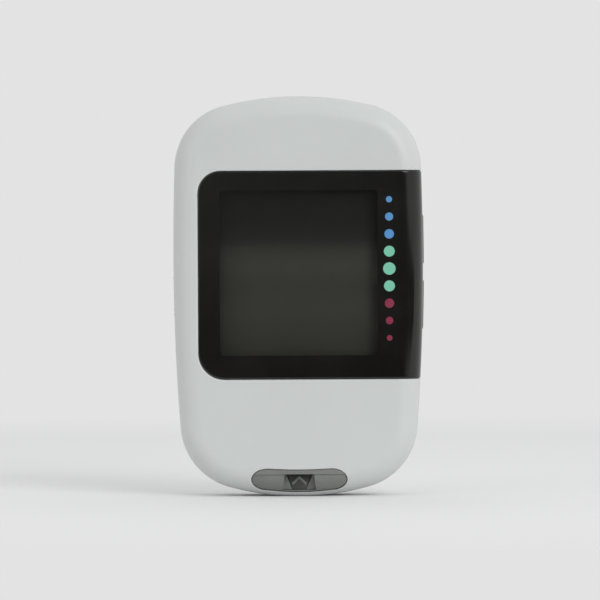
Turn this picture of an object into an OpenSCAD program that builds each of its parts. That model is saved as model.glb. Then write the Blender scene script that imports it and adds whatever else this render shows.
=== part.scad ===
// Hand-held blood glucose meter, standing on its strip port end.
// X runs to the right as seen from the display, Y from the display to the back, Z up along the body.
// The origin is the middle of the box that the meter fills, at the height of the foot.

/* [Body] */
// Width of the two housings, without the buttons and the ejector
body_w = 48.2; // [47.8:0.2:52]
// Height from the foot to the top
body_h = 77.1; // [76:0.5:84]
// Thickness from the display side to the back
body_t = 15.3; // [15.1:0.1:17]
// Depth of the front housing, from its face to the parting line
front_depth = 8.65; // [8.5:0.05:8.9]
// Wall of both housings
wall = 1.5; // [1.3:0.05:1.6]
// Gap along the parting line
parting_gap = 0.12; // [0.08:0.02:0.2]
// How far the front face falls away at its two ends
crown = 0.3; // [0.1:0.05:0.35]
// Material taken off the curved end to make the foot
foot_cut = 0.12; // [0.08:0.02:0.2]

/* [Outline] */
// Height of the widest place
widest_z = 45; // [42:1:48]
// Radius of the top end
top_end_r = 58; // [54:1:64]
// Radius of the top corners
top_corner_r = 12.4; // [11.5:0.1:13.5]
// Radius of the long sides above the widest place
top_side_r = 570; // [450:10:700]
// Radius of the bottom end
low_end_r = 50; // [47:1:54]
// Radius of the bottom corners
low_corner_r = 12.8; // [12:0.1:13.5]
// Radius of the long sides below the widest place
low_side_r = 412; // [370:6:460]
// Front edge rounding, measured across the face
front_round_w = 4.2; // [3.8:0.1:4.6]
// Front edge rounding, measured along the depth
front_round_t = 4.6; // [4.2:0.1:4.8]
// Back edge rounding, measured across the back
back_round_w = 6.5; // [6:0.1:6.8]
// Back edge rounding, measured along the depth
back_round_t = 5.2; // [4.8:0.1:5.4]

/* [Window] */
// Sheet thickness of the window
window_t = 1.2; // [1:0.05:1.3]
// Lower edge of the window
window_z = 22.6; // [22:0.2:23.6]
// Distance from the window's upper edge to the top of the body
window_drop = 14.5; // [14:0.1:15]
// Distance from the left side of the body to the window
window_inset = 4.9; // [4.5:0.1:5.3]
// Radius of the window's upper left corner
window_top_r = 4.3; // [3:0.1:5]
// Radius of the window's lower left corner
window_low_r = 5; // [4:0.1:6]
// Gap between the window and the housing
window_gap = 0.1; // [0.06:0.02:0.14]
// Thickness of the ledge that carries the window
ledge_t = 1.1; // [0.9:0.05:1.2]
// Width of the thick rim around the window pocket
rim_w = 1.6; // [1.2:0.1:1.8]
// Thickness of the lip inside the parting line
lip_t = 0.6; // [0.5:0.05:0.7]
// Height of the lip inside the parting line
lip_h = 0.8; // [0.6:0.05:1]

/* [Range dots] */
// Distance from the right side of the body to the row of dots
dot_inset = 6.6; // [6.2:0.1:7]
// Height of the middle dot over the middle of the window
dot_rise = 1.2; // [0.6:0.1:1.6]
// Pitch of the dots
dot_pitch = 3.33; // [3.1:0.02:3.5]
// Depth of each printed inlay
dot_t = 0.12; // [0.08:0.02:0.16]

/* [Display] */
// Distance from the window's left edge to the area that can be seen
view_left = 4.1; // [3.8:0.1:4.6]
// Distance from the right side of the body to the area that can be seen
view_right = 8.8; // [8.6:0.1:9.4]
// Distance from the window's lower edge to the area that can be seen
view_low = 4.5; // [4.2:0.1:5]
// Distance from the window's upper edge to the area that can be seen
view_drop = 3.7; // [3.4:0.1:4.2]
// Border of the display glass beside the area that can be seen
glass_side = 0.8; // [0.6:0.05:0.85]
// Border of the display glass above and below the area that can be seen
glass_end = 1.7; // [1.5:0.1:1.9]
// Thickness of the display glass
glass_t = 1.6; // [1.4:0.1:1.8]
// Thickness of the light guide
guide_t = 1.2; // [1:0.1:1.4]
// Wall of the display holder
holder_wall = 0.7; // [0.6:0.05:0.75]
// Width of each elastomer connector
zebra_w = 1.8; // [1.6:0.1:2]

/* [Circuit board] */
// Thickness of the circuit board
board_t = 1; // [0.8:0.1:1.1]
// Distance from the parting line forward to the board's front face
board_drop = 0.6; // [0.5:0.05:0.65]
// Gap between the board's edge and the housing
board_gap = 0.6; // [0.5:0.1:0.9]
// Lower edge of the board
board_z = 6.4; // [6:0.1:6.8]
// Side of the processor chip
processor_w = 7; // [6:0.5:8]
// Height of the processor chip
processor_t = 1; // [0.8:0.1:1.2]
// Height of the processor chip's middle over the window's lower edge
processor_rise = 17.4; // [17:0.1:18]
// Side of the radio chip
radio_w = 4.5; // [4:0.1:5]
// Height of the radio chip
radio_t = 0.9; // [0.7:0.1:1.1]
// Distance from the middle of the radio chip to the top of the body
radio_drop = 11.6; // [11.2:0.1:11.8]
// Length of the crystal
crystal_w = 3.2; // [2.8:0.1:3.6]
// Width of the crystal
crystal_h = 1.5; // [1.2:0.1:1.8]
// Height of the crystal
crystal_t = 0.8; // [0.6:0.1:1]
// Length of a small component
chip_l = 1; // [0.8:0.05:1.1]
// Width and height of a small component
chip_w = 0.5; // [0.4:0.05:0.6]

/* [Data socket] */
// Width of the socket's shell
usb_w = 7.6; // [7.2:0.1:8]
// Thickness of the socket's shell
usb_t = 2.6; // [2.4:0.05:2.7]
// Length of the socket's shell
usb_l = 5.6; // [5:0.1:5.8]
// Sheet thickness of the socket's shell
usb_wall = 0.3; // [0.2:0.05:0.35]
// How far the socket lies below the top of the body
usb_drop = 0.9; // [0.8:0.05:1.1]
// Gap between the socket and its opening
usb_gap = 0.3; // [0.2:0.05:0.35]
// Width of the socket's tongue
usb_tongue_w = 3.8; // [3.4:0.1:4.2]
// Thickness of the socket's tongue
usb_tongue_t = 0.5; // [0.4:0.05:0.6]

/* [Strip port] */
// Width of the port insert
port_w = 18.3; // [17.6:0.1:19]
// Lower edge of the port insert
port_z = 0.9; // [0.8:0.05:1]
// Upper edge of the port insert
port_top = 5.3; // [5.2:0.1:5.5]
// Length of the port insert's rounded ends
port_end_w = 3; // [2.6:0.1:3.4]
// Height where the lip over the mouth begins
lip_z = 4.3; // [4.1:0.1:4.4]
// Width of the strip slot
slot_w = 5.6; // [5.4:0.1:6]
// How far the mouth's sides spread at its foot
mouth_flare = 0.4; // [0.2:0.1:0.6]
// Thickness of the strip slot
slot_t = 0.6; // [0.5:0.05:0.7]
// Distance from the front face to the middle of the strip slot
slot_depth = 2.35; // [2.3:0.05:2.45]
// Width of the guide tongue at its top
tongue_w = 4.6; // [4.2:0.1:4.8]
// Width of the guide tongue at its foot
tongue_foot_w = 2.7; // [2.4:0.1:3]
// Lower end of the guide tongue
tongue_z = 1.3; // [1.2:0.05:1.4]
// Gap between the port insert and the housing
port_gap = 0.1; // [0.06:0.02:0.14]
// Width of the strip connector
connector_w = 10; // [9.6:0.1:10.4]
// Lower end of the strip connector
connector_z = 8.5; // [8.4:0.1:8.7]
// Length of the strip connector
connector_l = 11.3; // [11.2:0.1:11.5]
// Number of contact fingers
finger_count = 5; // [3:1:5]
// Pitch of the contact fingers
finger_pitch = 1.1; // [1:0.05:1.15]
// Width of a contact finger
finger_w = 0.4; // [0.3:0.05:0.45]
// Sheet thickness of a contact finger
finger_t = 0.25; // [0.15:0.05:0.3]

/* [Buttons] */
// Length of each side button
button_l = 9.6; // [9:0.1:10]
// Width of each side button
button_w = 3.2; // [3:0.1:3.3]
// How far the buttons and the ejector stand proud of the body
proud = 0.2; // [0.15:0.05:0.3]
// Height of the middle of the upper button over the window's lower edge
up_rise = 26.8; // [26.4:0.1:27.4]
// Height of the middle of the lower button over the window's lower edge
down_rise = 14.2; // [13.6:0.1:14.6]
// Travel of a button
button_travel = 0.35; // [0.2:0.05:0.4]
// Gap around a button
button_gap = 0.15; // [0.1:0.01:0.18]
// Thickness of the flange that keeps a button in
flange_t = 0.55; // [0.4:0.05:0.6]
// How far the flange stands out round a button
flange_w = 0.5; // [0.4:0.05:0.55]
// Length of a switch
switch_h = 5.6; // [5:0.1:6]
// Height of a switch over the board
switch_t = 2.6; // [2.4:0.05:2.7]
// Width of a switch, from its button side to its back
switch_l = 2.8; // [2.5:0.1:3]
// Side of a switch's plunger
plunger_w = 1; // [0.8:0.1:1.2]
// Distance from the parting line forward to the middle of the buttons
side_row = 2.4; // [2.3:0.05:2.5]

/* [Ejector] */
// Length of the thumb cap
cap_l = 10; // [9:0.5:11]
// Width of the thumb cap
cap_w = 3.5; // [3.2:0.1:3.6]
// Height of the lower end of the thumb cap
cap_z = 33.6; // [33:0.2:34.4]
// Travel of the ejector
eject_travel = 5; // [4.5:0.1:5]
// Radius of the return spring
spring_r = 0.85; // [0.7:0.05:0.9]
// Wall of the return spring's envelope
spring_t = 0.25; // [0.2:0.05:0.3]
// Depth of the track that the thumb cap slides in
track_depth = 0.8; // [0.7:0.05:0.9]
// Thickness of the stem between the cap and the slide
stem_w = 1.5; // [1.3:0.1:1.7]
// Thickness of the slide
slide_t = 1; // [0.8:0.05:1.1]
// Width of the slide
slide_w = 2.6; // [2.4:0.1:2.8]
// Width of the pusher behind the strip
pusher_w = 4; // [3.6:0.1:4.2]
// Pitch of the grip grooves
groove_pitch = 1; // [0.8:0.1:1.2]

/* [Battery bay] */
// Distance from the side of the body to the nearer coin cell
cell_side = 3.8; // [3.7:0.05:4]
// Distance between the two cells
cell_split = 0.6; // [0.5:0.05:0.7]
// Space between the coin cells and the battery door
cell_play = 0.85; // [0.8:0.05:1]
// Distance from the middle of the cells to the top of the body
cell_drop = 24.1; // [24:0.1:24.6]
// Gap around a cell
cell_gap = 0.3; // [0.25:0.05:0.35]
// Thickness of the battery door
door_t = 1.2; // [1:0.05:1.3]
// Gap around the battery door
door_gap = 0.12; // [0.1:0.01:0.16]
// Width of the seat that the door rests on
door_seat = 0.7; // [0.6:0.05:0.8]
// Width of a door hook
hook_w = 3.4; // [3:0.1:3.8]
// Width of the latch tab
latch_w = 6; // [5:0.5:7]
// Radius of the finger notch
notch_r = 4.2; // [4:0.1:4.6]
// Width of a negative contact
leaf_w = 7; // [6:0.5:8]
// Length of a negative contact
leaf_l = 10; // [9:0.5:11]
// Sheet thickness of the cell contacts
leaf_t = 0.15; // [0.1:0.01:0.2]
// Width of a contact's leg
leg_w = 2; // [1.6:0.1:2.4]
// Sheet thickness of a contact's leg
leg_t = 0.3; // [0.2:0.05:0.35]

/* [Fasteners] */
// Radius of a screw's shank
screw_r = 0.9; // [0.8:0.05:1]
// Radius of a screw's head
screw_head_r = 1.7; // [1.5:0.05:1.8]
// Radius of a screw boss
boss_r = 2.2; // [2:0.05:2.3]
// Running clearance of the shank in its bosses
screw_gap = 0.03; // [0.02:0.01:0.06]
// Thickness of a screw's head
screw_head_t = 1; // [0.8:0.05:1.1]
// Width of the cross recess
cross_w = 0.4; // [0.3:0.05:0.5]
// Distance from the side of the body to an upper screw
screw_top_side = 14.1; // [13.9:0.1:14.4]
// Distance from an upper screw to the top of the body
screw_top_drop = 9.9; // [9.7:0.1:10.1]
// Distance from the side of the body to a lower screw
screw_low_side = 12.6; // [12.3:0.1:12.9]
// Height of the lower screws
screw_low_z = 9.2; // [9.1:0.05:9.5]

/* [Label] */
// Width of the label
label_w = 26; // [22:1:28]
// Lower edge of the label
label_low = 15.5; // [15:0.5:17]
// Upper edge of the label
label_high = 33.5; // [31:0.5:35]
// Radius of the label's corners
label_r = 1.4; // [1:0.1:2]
// Thickness of the label
label_t = 0.12; // [0.08:0.02:0.16]

/* [Hidden] */

round_n = 32;           // segments on round parts
edge_n = 6;             // rings on each rounded edge
far = 40;               // reach of cutting solids past the body
half_w = body_w / 2;
front_y = -body_t / 2;
back_y = body_t / 2;
part_y = front_y + front_depth;
mid_z = body_h / 2;
window_x = window_inset - half_w;
window_top = body_h - window_drop;
view_x0 = window_x + view_left;
view_x1 = half_w - view_right;
view_z0 = window_z + view_low;
view_z1 = window_top - view_drop;
dot_z = (window_z + window_top) / 2 + dot_rise;
up_z = window_z + up_rise;
down_z = window_z + down_rise;
cell_z = body_h - cell_drop;
board_y = part_y - board_drop;
board_back = board_y + board_t;

// ---- outline of the body: six arcs a side, each tangent to the next ----

// Middle of a corner arc that touches an end arc and a side arc from inside.
// Heights count from the end inwards.
function corner_middle(end_r, corner_r, side_r, side_z) =
  let(
    dx = half_w - side_r, dz = side_z - end_r,
    a = end_r - corner_r, b = side_r - corner_r, d = norm([dx, dz]),
    t = (a * a - b * b + d * d) / (2 * d), h = sqrt(max(0, a * a - t * t))
  ) [t * dx / d - h * dz / d, end_r + t * dz / d + h * dx / d];

function arc_points(c, r, from, to, n) =
  [for (i = [0:n - 1]) c + r * [cos(from + (to - from) * i / n), sin(from + (to - from) * i / n)]];

function heading(from, to) = atan2(to[1] - from[1], to[0] - from[0]);

low_end_c = [0, low_end_r - foot_cut];
low_side_c = [half_w - low_side_r, widest_z];
low_corner = corner_middle(low_end_r, low_corner_r, low_side_r, widest_z + foot_cut);
low_corner_c = [low_corner[0], low_corner[1] - foot_cut];
top_end_c = [0, body_h - top_end_r];
top_side_c = [half_w - top_side_r, widest_z];
top_corner = corner_middle(top_end_r, top_corner_r, top_side_r, body_h - widest_z);
top_corner_c = [top_corner[0], body_h - top_corner[1]];

// Right half of the outline from the foot to the top, drawn in by inset
function right_half(inset) =
  let(
    low_turn = heading(low_end_c, low_corner_c), low_side = heading(low_side_c, low_corner_c),
    top_side = heading(top_side_c, top_corner_c), top_turn = heading(top_end_c, top_corner_c)
  )
  concat(
    arc_points(low_end_c, low_end_r - inset, -90, low_turn, 4),
    arc_points(low_corner_c, low_corner_r - inset, low_turn, low_side, 7),
    arc_points(low_side_c, low_side_r - inset, low_side, 0, 2),
    arc_points(top_side_c, top_side_r - inset, 0, top_side, 2),
    arc_points(top_corner_c, top_corner_r - inset, top_side, top_turn, 7),
    arc_points(top_end_c, top_end_r - inset, top_turn, 90, 4),
    [[0, body_h - inset]]
  );

function outline(inset) =
  let(half = right_half(inset), m = len(half) - 1)
  concat(half, [for (i = [m - 1:-1:1]) [-half[i][0], half[i][1]]]);

// ---- solids of the pillow shape ----

// Fall of the front face at a height
function fall(z) = crown * pow((z - mid_z) / mid_z, 2);

// Depth of the front surface at a height, away from the rounded edge
function face_y(z) = front_y + fall(z);

function front_ring(inset, turn) = [
  for (p = outline(inset + (front_round_w - inset) * (1 - sin(turn))))
    [p[0], front_y + inset + (front_round_t - inset) * (1 - cos(turn)) + fall(p[1]) * cos(turn), p[1]]
];

function back_ring(inset, turn) = [
  for (p = outline(inset + (back_round_w - inset) * (1 - sin(turn))))
    [p[0], back_y - inset - (back_round_t - inset) * (1 - cos(turn)), p[1]]
];

function flat_ring(inset, y) = [for (p = outline(inset)) [p[0], y, p[1]]];

module loft(rings) {
  n = len(rings[0]);
  m = n / 2;
  last = (len(rings) - 1) * n;
  sides = [
    for (k = [0:len(rings) - 2], i = [0:n - 1])
      [k * n + i, k * n + (i + 1) % n, (k + 1) * n + (i + 1) % n, (k + 1) * n + i]
  ];
  front = [
    for (i = [0:m - 1])
      i == 0 ? [1, 0, n - 1] : i == m - 1 ? [m, m - 1, m + 1] : [i + 1, i, n - i, n - i - 1]
  ];
  polyhedron([for (ring = rings, p = ring) p], concat(sides, front, [[for (i = [0:n - 1]) last + i]]));
}

// The body's form from its front face to the depth end, drawn in by inset
module front_form(inset, end) {
  loft(concat([for (k = [0:edge_n]) front_ring(inset, 90 * k / edge_n)], [flat_ring(inset, end)]));
}

// The body's form from the depth start to its back face, drawn in by inset
module back_form(inset, start) {
  loft(concat([flat_ring(inset, start)], [for (k = [edge_n:-1:0]) back_ring(inset, 90 * k / edge_n)]));
}

// ---- small helpers ----

// A flat XZ shape given depth, from y0 back to y1
module deep(y0, y1) {
  translate([0, y1, 0]) rotate([90, 0, 0]) linear_extrude(y1 - y0) children();
}

// A block between two corners
module block(lo, hi) {
  translate(lo) cube(hi - lo);
}

// A round bar along Y
module bar_y(r, x, z, y0, y1) {
  translate([x, y1, z]) rotate([90, 0, 0]) cylinder(r=r, h=y1 - y0, $fn=round_n);
}

// A rectangle with a radius for each corner, in the order low left, low right, top right, top left
function rounded(x0, z0, x1, z1, r) = concat(
  arc_points([x0 + r[0], z0 + r[0]], r[0], 180, 270, 6),
  arc_points([x1 - r[1], z0 + r[1]], r[1], 270, 360, 6),
  arc_points([x1 - r[2], z1 - r[2]], r[2], 0, 90, 6),
  arc_points([x0 + r[3], z1 - r[3]], r[3], 90, 180, 6)
);

module frame_2d(x0, z0, x1, z1, r) {
  polygon(rounded(x0, z0, x1, z1, [r, r, r, r]));
}

module both_sides() {
  children();
  mirror([1, 0, 0]) children();
}

// Cuts the foot flat
module above_foot() {
  intersection() {
    children();
    block([-far, -far, 0], [far, far, body_h + far]);
  }
}

// ---- front housing ----

pocket_inset = window_t + window_gap;
ledge_inset = pocket_inset + ledge_t;
front_end = part_y - parting_gap / 2;
button_y = part_y - side_row;
screw_top_x = half_w - screw_top_side;
screw_low_x = half_w - screw_low_side;
screw_spots = [
  [-screw_low_x, screw_low_z], [screw_low_x, screw_low_z],
  [-screw_top_x, body_h - screw_top_drop], [screw_top_x, body_h - screw_top_drop]
];
screw_head_y = back_y - 1.3;
screw_tip_y = front_y + 4.2;
usb_y = board_y - usb_t / 2;
usb_top = body_h - usb_drop;
track_w = cap_w + 0.6;
stem_gap = 0.15;
cap_top = cap_z + cap_l;

// The window's shape from the front, grown by a margin, and run past the right side
module window_shape(grow) {
  polygon(rounded(
    window_x - grow, window_z - grow, far, window_top + grow,
    [window_low_r + grow, 0.3, 0.3, window_top_r + grow]
  ));
}

// The port insert's shape from the front, grown by a margin: an oval with a slightly hollow top
module port_shape(grow) {
  reach = port_w / 2 - port_end_w;
  low_r = low_end_c[1] - port_z;
  low_z = low_end_c[1] - sqrt(low_r * low_r - reach * reach);
  middle_z = (port_top + low_z) / 2;
  end_h = (port_top - low_z) / 2 + grow;
  end_w = port_end_w + grow;
  sag = 0.2;
  polygon(concat(
    [for (i = [0:8]) let(a = 90 + 180 * i / 8) [end_w * cos(a) - reach, middle_z + end_h * sin(a)]],
    [for (i = [1:7]) let(x = reach * (i / 4 - 1)) [x, low_end_c[1] - sqrt(low_r * low_r - x * x) - grow]],
    [for (i = [0:8]) let(a = 180 * i / 8 - 90) [end_w * cos(a) + reach, middle_z + end_h * sin(a)]],
    [for (i = [1:5]) let(t = 1 - i / 3) [reach * t, port_top + grow - sag * (1 - t * t)]]
  ));
}

module view_shape(grow) {
  frame_2d(view_x0 - grow, view_z0 - grow, view_x1 + grow, view_z1 + grow, 0.4);
}

module button_slot(z, gap) {
  block(
    [half_w - 4, button_y - button_w / 2 - gap, z - button_l / 2 - gap],
    [far, button_y + button_w / 2 + gap, z + button_l / 2 + gap]
  );
}

module front_shell() {
  difference() {
    front_form(0, front_end);
    front_form(ledge_inset, part_y + 1);
    difference() {
      front_form(wall, part_y + 1);
      deep(-far, far) window_shape(rim_w);
    }
    difference() {
      deep(-far, far) window_shape(window_gap);
      front_form(pocket_inset, part_y + 2);
    }
  }
}

module front_housing() {
  color([0.78, 0.79, 0.79])
  above_foot() difference() {
    union() {
      front_shell();
      for (s = screw_spots) bar_y(boss_r, s[0], s[1], front_y + wall / 2, board_y);
      // seat of the ejector's spring
      block([spring_x - 0.85, spring_y - 1, spring_z - 1], [spring_x + 0.85, board_y - 0.3, spring_z]);
      block([spring_x - 0.85, front_y + wall / 2, spring_z - 1], [spring_x + 0.85, spring_y, spring_z]);
    }
    for (s = screw_spots) bar_y(screw_r + screw_gap, s[0], s[1], screw_tip_y - 0.3, part_y);
    deep(-far, -1) view_shape(0.3);
    deep(-far, port_back + 1.2) port_shape(port_gap);
    for (z = [up_z, down_z]) button_slot(z, button_gap);
    // opening over the charging and data socket
    block([-usb_w / 2 - usb_gap, usb_y - usb_t / 2 - usb_gap, body_h - 4],
      [usb_w / 2 + usb_gap, board_y, body_h + 1]);
    // sunk track and slot of the ejector
    block([-far, button_y - track_w / 2, cap_z - eject_travel - 0.4],
      [track_depth - half_w, button_y + track_w / 2, cap_top + 0.4]);
    block([-far, button_y - stem_w / 2 - stem_gap, stem_z - eject_travel - 0.4],
      [3 - half_w, button_y + stem_w / 2 + stem_gap, stem_top + 0.4]);
  }
}

// ---- rear housing ----

rear_start = part_y + parting_gap / 2;
tub_floor_t = 0.5;
tub_floor_y = board_back + 0.35 + tub_floor_t;
cell_y = tub_floor_y + 0.15;
cell_t = back_y - door_t - cell_play - cell_y;
cell_r = (half_w - cell_side - cell_split / 2) / 2;
cell_x = cell_r + cell_split / 2;
tub_half_w = cell_x + cell_r + cell_gap;
tub_low = cell_z - cell_r - cell_gap;
tub_top = cell_z + cell_r + cell_gap + 1.2;
door_low = tub_low - door_seat;
door_high = tub_top + door_seat;
door_half_w = tub_half_w + 0.5;

module cells_shape() {
  for (x = [-cell_x, cell_x]) translate([x, cell_z]) circle(r=cell_r + cell_gap, $fn=48);
  polygon(rounded(-cell_x - 4, cell_z - 4, cell_x + 4, tub_top, [1, 1, 1, 1]));
  polygon(rounded(-cell_x, tub_low + 1, cell_x, cell_z, [1, 1, 1, 1]));
}

module door_shape(grow) {
  frame_2d(-door_half_w - grow, door_low - grow, door_half_w + grow, door_high + grow, 1.6 + grow);
}

label_y = back_y - label_t - 0.03;

module label_shape(grow) {
  frame_2d(-label_w / 2 - grow, label_low - grow, label_w / 2 + grow, label_high + grow, label_r + grow);
}

module ring_2d(outer, inner) {
  difference() {
    polygon(outline(outer));
    polygon(outline(inner));
  }
}

module rear_housing() {
  color([0.76, 0.77, 0.77])
  above_foot() difference() {
    union() {
      difference() {
        back_form(0, rear_start);
        back_form(wall, part_y - 1);
      }
      // tub of the cells
      intersection() {
        back_form(0.3, part_y - 1);
        deep(tub_floor_y - tub_floor_t, back_y) frame_2d(
          -door_half_w - 1, door_low - 1.2, door_half_w + 1, door_high + 1.2, 1.6
        );
      }
      for (s = screw_spots) bar_y(boss_r, s[0], s[1], board_back, back_y - wall / 2);
      // lip that the front housing's ends fit over, and the foot that joins it to the wall
      difference() {
        union() {
          deep(rear_start - lip_h, part_y + 1) ring_2d(wall + 0.1, wall + 0.1 + lip_t);
          deep(rear_start, part_y + 1) ring_2d(wall - 0.1, wall + 0.1 + lip_t);
        }
        both_sides() block([half_w - 8, -far, window_z - rim_w - 0.6], [far, far, window_top + rim_w + 0.4]);
        block([-usb_w / 2 - 1, -far, body_h - 6], [usb_w / 2 + 1, far, body_h]);
        block([-port_w / 2, -far, -1], [port_w / 2, far, 6]);
      }
    }
    deep(tub_floor_y, back_y + 1) cells_shape();
    difference() {
      deep(tub_floor_y, back_y + 1) door_shape(door_gap);
      back_form(door_t + 0.05, part_y - 2);
    }
    // room for the door's hooks, under the wall and beside the seat
    hook_rooms = [[door_low - 2.2, back_y - wall + 0.06], [door_low - door_gap, back_y]];
    for (x = [-hook_x, hook_x], room = hook_rooms)
      block([x - hook_w / 2 - 0.3, back_y - door_t - 3.2, room[0]],
        [x + hook_w / 2 + 0.3, room[1], tub_low + 2]);
    for (s = screw_spots) {
      bar_y(screw_r + screw_gap, s[0], s[1], part_y - 2, back_y + 1);
      bar_y(screw_head_r + 0.15, s[0], s[1], screw_head_y - screw_head_t, back_y + 1);
    }
    deep(label_y, back_y + 1) label_shape(0.1);
    // legs of the cell contacts
    for (x = [-cell_x, cell_x], z = [cell_z, tub_top - 0.35]) block(
      [x - leg_w / 2 - 0.1, board_y, z - leg_t / 2 - 0.1],
      [x + leg_w / 2 + 0.1, tub_floor_y + 1, z + leg_t / 2 + 0.1]
    );
  }
}

// ---- window and display ----

module display_window() {
  color([0.1, 0.1, 0.1])
  difference() {
    intersection() {
      difference() {
        front_form(0, front_end);
        front_form(window_t, part_y + 1);
      }
      deep(-far, far) window_shape(0);
    }
    for (z = [up_z, down_z]) button_slot(z, button_gap);
    dots(2, dot_t);
  }
}

dot_r = [0.6, 0.78, 0.91, 1.05, 1.2, 1.05, 0.9, 0.72, 0.54];    // from the top dot down

// The nine dots, from out proud of the window's face down to the inlay's depth
module dots(out, depth) {
  middle = (len(dot_r) - 1) / 2;
  for (i = [0:len(dot_r) - 1]) {
    z = dot_z + (middle - i) * dot_pitch;
    bar_y(dot_r[i], half_w - dot_inset, z, face_y(z) - out, face_y(z) + depth);
  }
}

module range_dots() {
  color([0.45, 0.75, 0.65]) dots(0, dot_t);
}

glass_y = front_y + ledge_inset + crown * 0.35 + 0.1;
view_x = (view_x0 + view_x1) / 2;
glass_w = view_x1 - view_x0 + 2 * glass_side;
glass_z = view_z0 - glass_end;
glass_h = view_z1 + glass_end - glass_z;
guide_y = glass_y + glass_t + 0.05;
zebra_end = 0.2;
guide_end = zebra_end + zebra_w + 0.3;
rail_t = 0.7;
rail_w = 1.6;

module lcd_panel() {
  color([0.3, 0.31, 0.29]) block(
    [view_x - glass_w / 2, glass_y, glass_z], [view_x + glass_w / 2, glass_y + glass_t, glass_z + glass_h]
  );
}

module backlight() {
  color([0.9, 0.9, 0.86]) block(
    [view_x - glass_w / 2 + 0.3, guide_y, glass_z + guide_end],
    [view_x + glass_w / 2 - 0.3, guide_y + guide_t, glass_z + glass_h - guide_end]
  );
}

module zebra_strips() {
  color([0.35, 0.35, 0.38])
  for (z = [glass_z + zebra_end, glass_z + glass_h - zebra_end - zebra_w]) block(
    [view_x - glass_w / 2 + 1, glass_y + glass_t, z], [view_x + glass_w / 2 - 1, board_y, z + zebra_w]
  );
}

module lcd_holder() {
  in_w = glass_w / 2 + 0.1;
  in_low = glass_z - 0.1;
  in_top = glass_z + glass_h + 0.1;
  rail_y = guide_y + guide_t + 0.05;
  color([0.92, 0.92, 0.9]) translate([view_x, 0, 0]) {
    difference() {
      block([-in_w - holder_wall, glass_y, in_low - holder_wall],
        [in_w + holder_wall, board_y, in_top + holder_wall]);
      block([-in_w, glass_y - 1, in_low], [in_w, board_y + 1, in_top]);
    }
    both_sides() block([in_w - rail_w, rail_y, glass_z + guide_end],
      [in_w, rail_y + rail_t, in_top - guide_end]);
  }
}

// ---- circuit board ----

board_inset = wall + 0.1 + lip_t + board_gap / 2;
processor_x = -6;
processor_z = window_z + processor_rise;
radio_x = 0.5;
radio_z = body_h - radio_drop;

module circuit_board() {
  color([0.1, 0.35, 0.22])
  difference() {
    deep(board_y, board_back) intersection() {
      polygon(outline(board_inset));
      translate([-far, board_z]) square([2 * far, body_h]);
    }
    for (s = screw_spots) bar_y(screw_r + 0.25, s[0], s[1], board_y - 1, board_back + 1);
    // notch behind the side buttons
    block([switch_end + 0.1, -far, down_z - button_l / 2 - 1], [far, far, up_z + button_l / 2 + 1]);
  }
}

// A part on the board's front face
module on_board(x, z, w, h, t) {
  block([x - w / 2, board_y - t, z - h / 2], [x + w / 2, board_y, z + h / 2]);
}

module processor_chip() {
  color([0.12, 0.12, 0.13]) on_board(processor_x, processor_z, processor_w, processor_w, processor_t);
}

module radio_chip() {
  color([0.12, 0.12, 0.13]) on_board(radio_x, radio_z, radio_w, radio_w, radio_t);
}

module crystal() {
  color([0.75, 0.75, 0.72])
  on_board(processor_x + processor_w + 5.5, processor_z + 1, crystal_w, crystal_h, crystal_t);
}

// Rows of small components under the window, round the processor and beside the radio chip
module small_parts() {
  side = (processor_w + 5) / 2;
  color([0.55, 0.45, 0.35]) {
    for (i = [-5:5]) on_board(i * 2.1 * chip_l, window_z - 0.2, chip_l, chip_w, chip_w);
    for (i = [-2:2], dz = [-side, side])
      on_board(processor_x + i * 1.6 * chip_l, processor_z + dz, chip_w, chip_l, chip_w);
    for (i = [0:2])
      on_board(radio_x - radio_w / 2 - 1.2 - i * 2 * chip_w, radio_z, chip_w, 1.6 * chip_l, 1.4 * chip_w);
  }
}

usb_floor = usb_top - usb_l + 0.8;

module usb_connector() {
  color([0.75, 0.76, 0.77])
  difference() {
    block([-usb_w / 2, usb_y - usb_t / 2, usb_top - usb_l], [usb_w / 2, usb_y + usb_t / 2, usb_top]);
    block([usb_wall - usb_w / 2, usb_y - usb_t / 2 + usb_wall, usb_floor],
      [usb_w / 2 - usb_wall, usb_y + usb_t / 2 - usb_wall, usb_top + 1]);
  }
}

module usb_tongue() {
  color([0.1, 0.1, 0.1])
  block([-usb_tongue_w / 2, usb_y - 0.1 - usb_tongue_t / 2, usb_floor],
    [usb_tongue_w / 2, usb_y - 0.1 + usb_tongue_t / 2, usb_top - 0.9]);
}

// ---- strip port ----

slot_y = front_y + slot_depth;
slot_front = slot_y - slot_t / 2;
slot_back = slot_y + slot_t / 2;
throat_top = connector_z - 0.2;
tongue_back = slot_back + 1.1;
port_back = slot_back + 1.6;

module tongue_shape(grow) {
  polygon([
    [-tongue_foot_w / 2 - grow, tongue_z - grow], [tongue_foot_w / 2 + grow, tongue_z - grow],
    [tongue_w / 2 + grow, lip_z], [tongue_w / 2 + grow, port_top - 0.2 + grow],
    [-tongue_w / 2 - grow, port_top - 0.2 + grow], [-tongue_w / 2 - grow, lip_z]
  ]);
}

module strip_port_insert() {
  color([0.5, 0.51, 0.5])
  difference() {
    union() {
      intersection() {
        front_form(0, port_back);
        deep(-far, far) port_shape(0);
      }
      block([-slot_w / 2 - 1.6, slot_front - 0.15, lip_z], [slot_w / 2 + 1.6, port_back, throat_top]);
    }
    block([-slot_w / 2, slot_front, -1], [slot_w / 2, slot_back, body_h]);
    // open mouth under the lip
    deep(-far, slot_back) polygon([
      [-slot_w / 2 - mouth_flare, port_z + 0.35], [slot_w / 2 + mouth_flare, port_z + 0.35],
      [slot_w / 2, lip_z], [-slot_w / 2, lip_z]
    ]);
    deep(slot_y, tongue_back) tongue_shape(0.04);
  }
}

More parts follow.
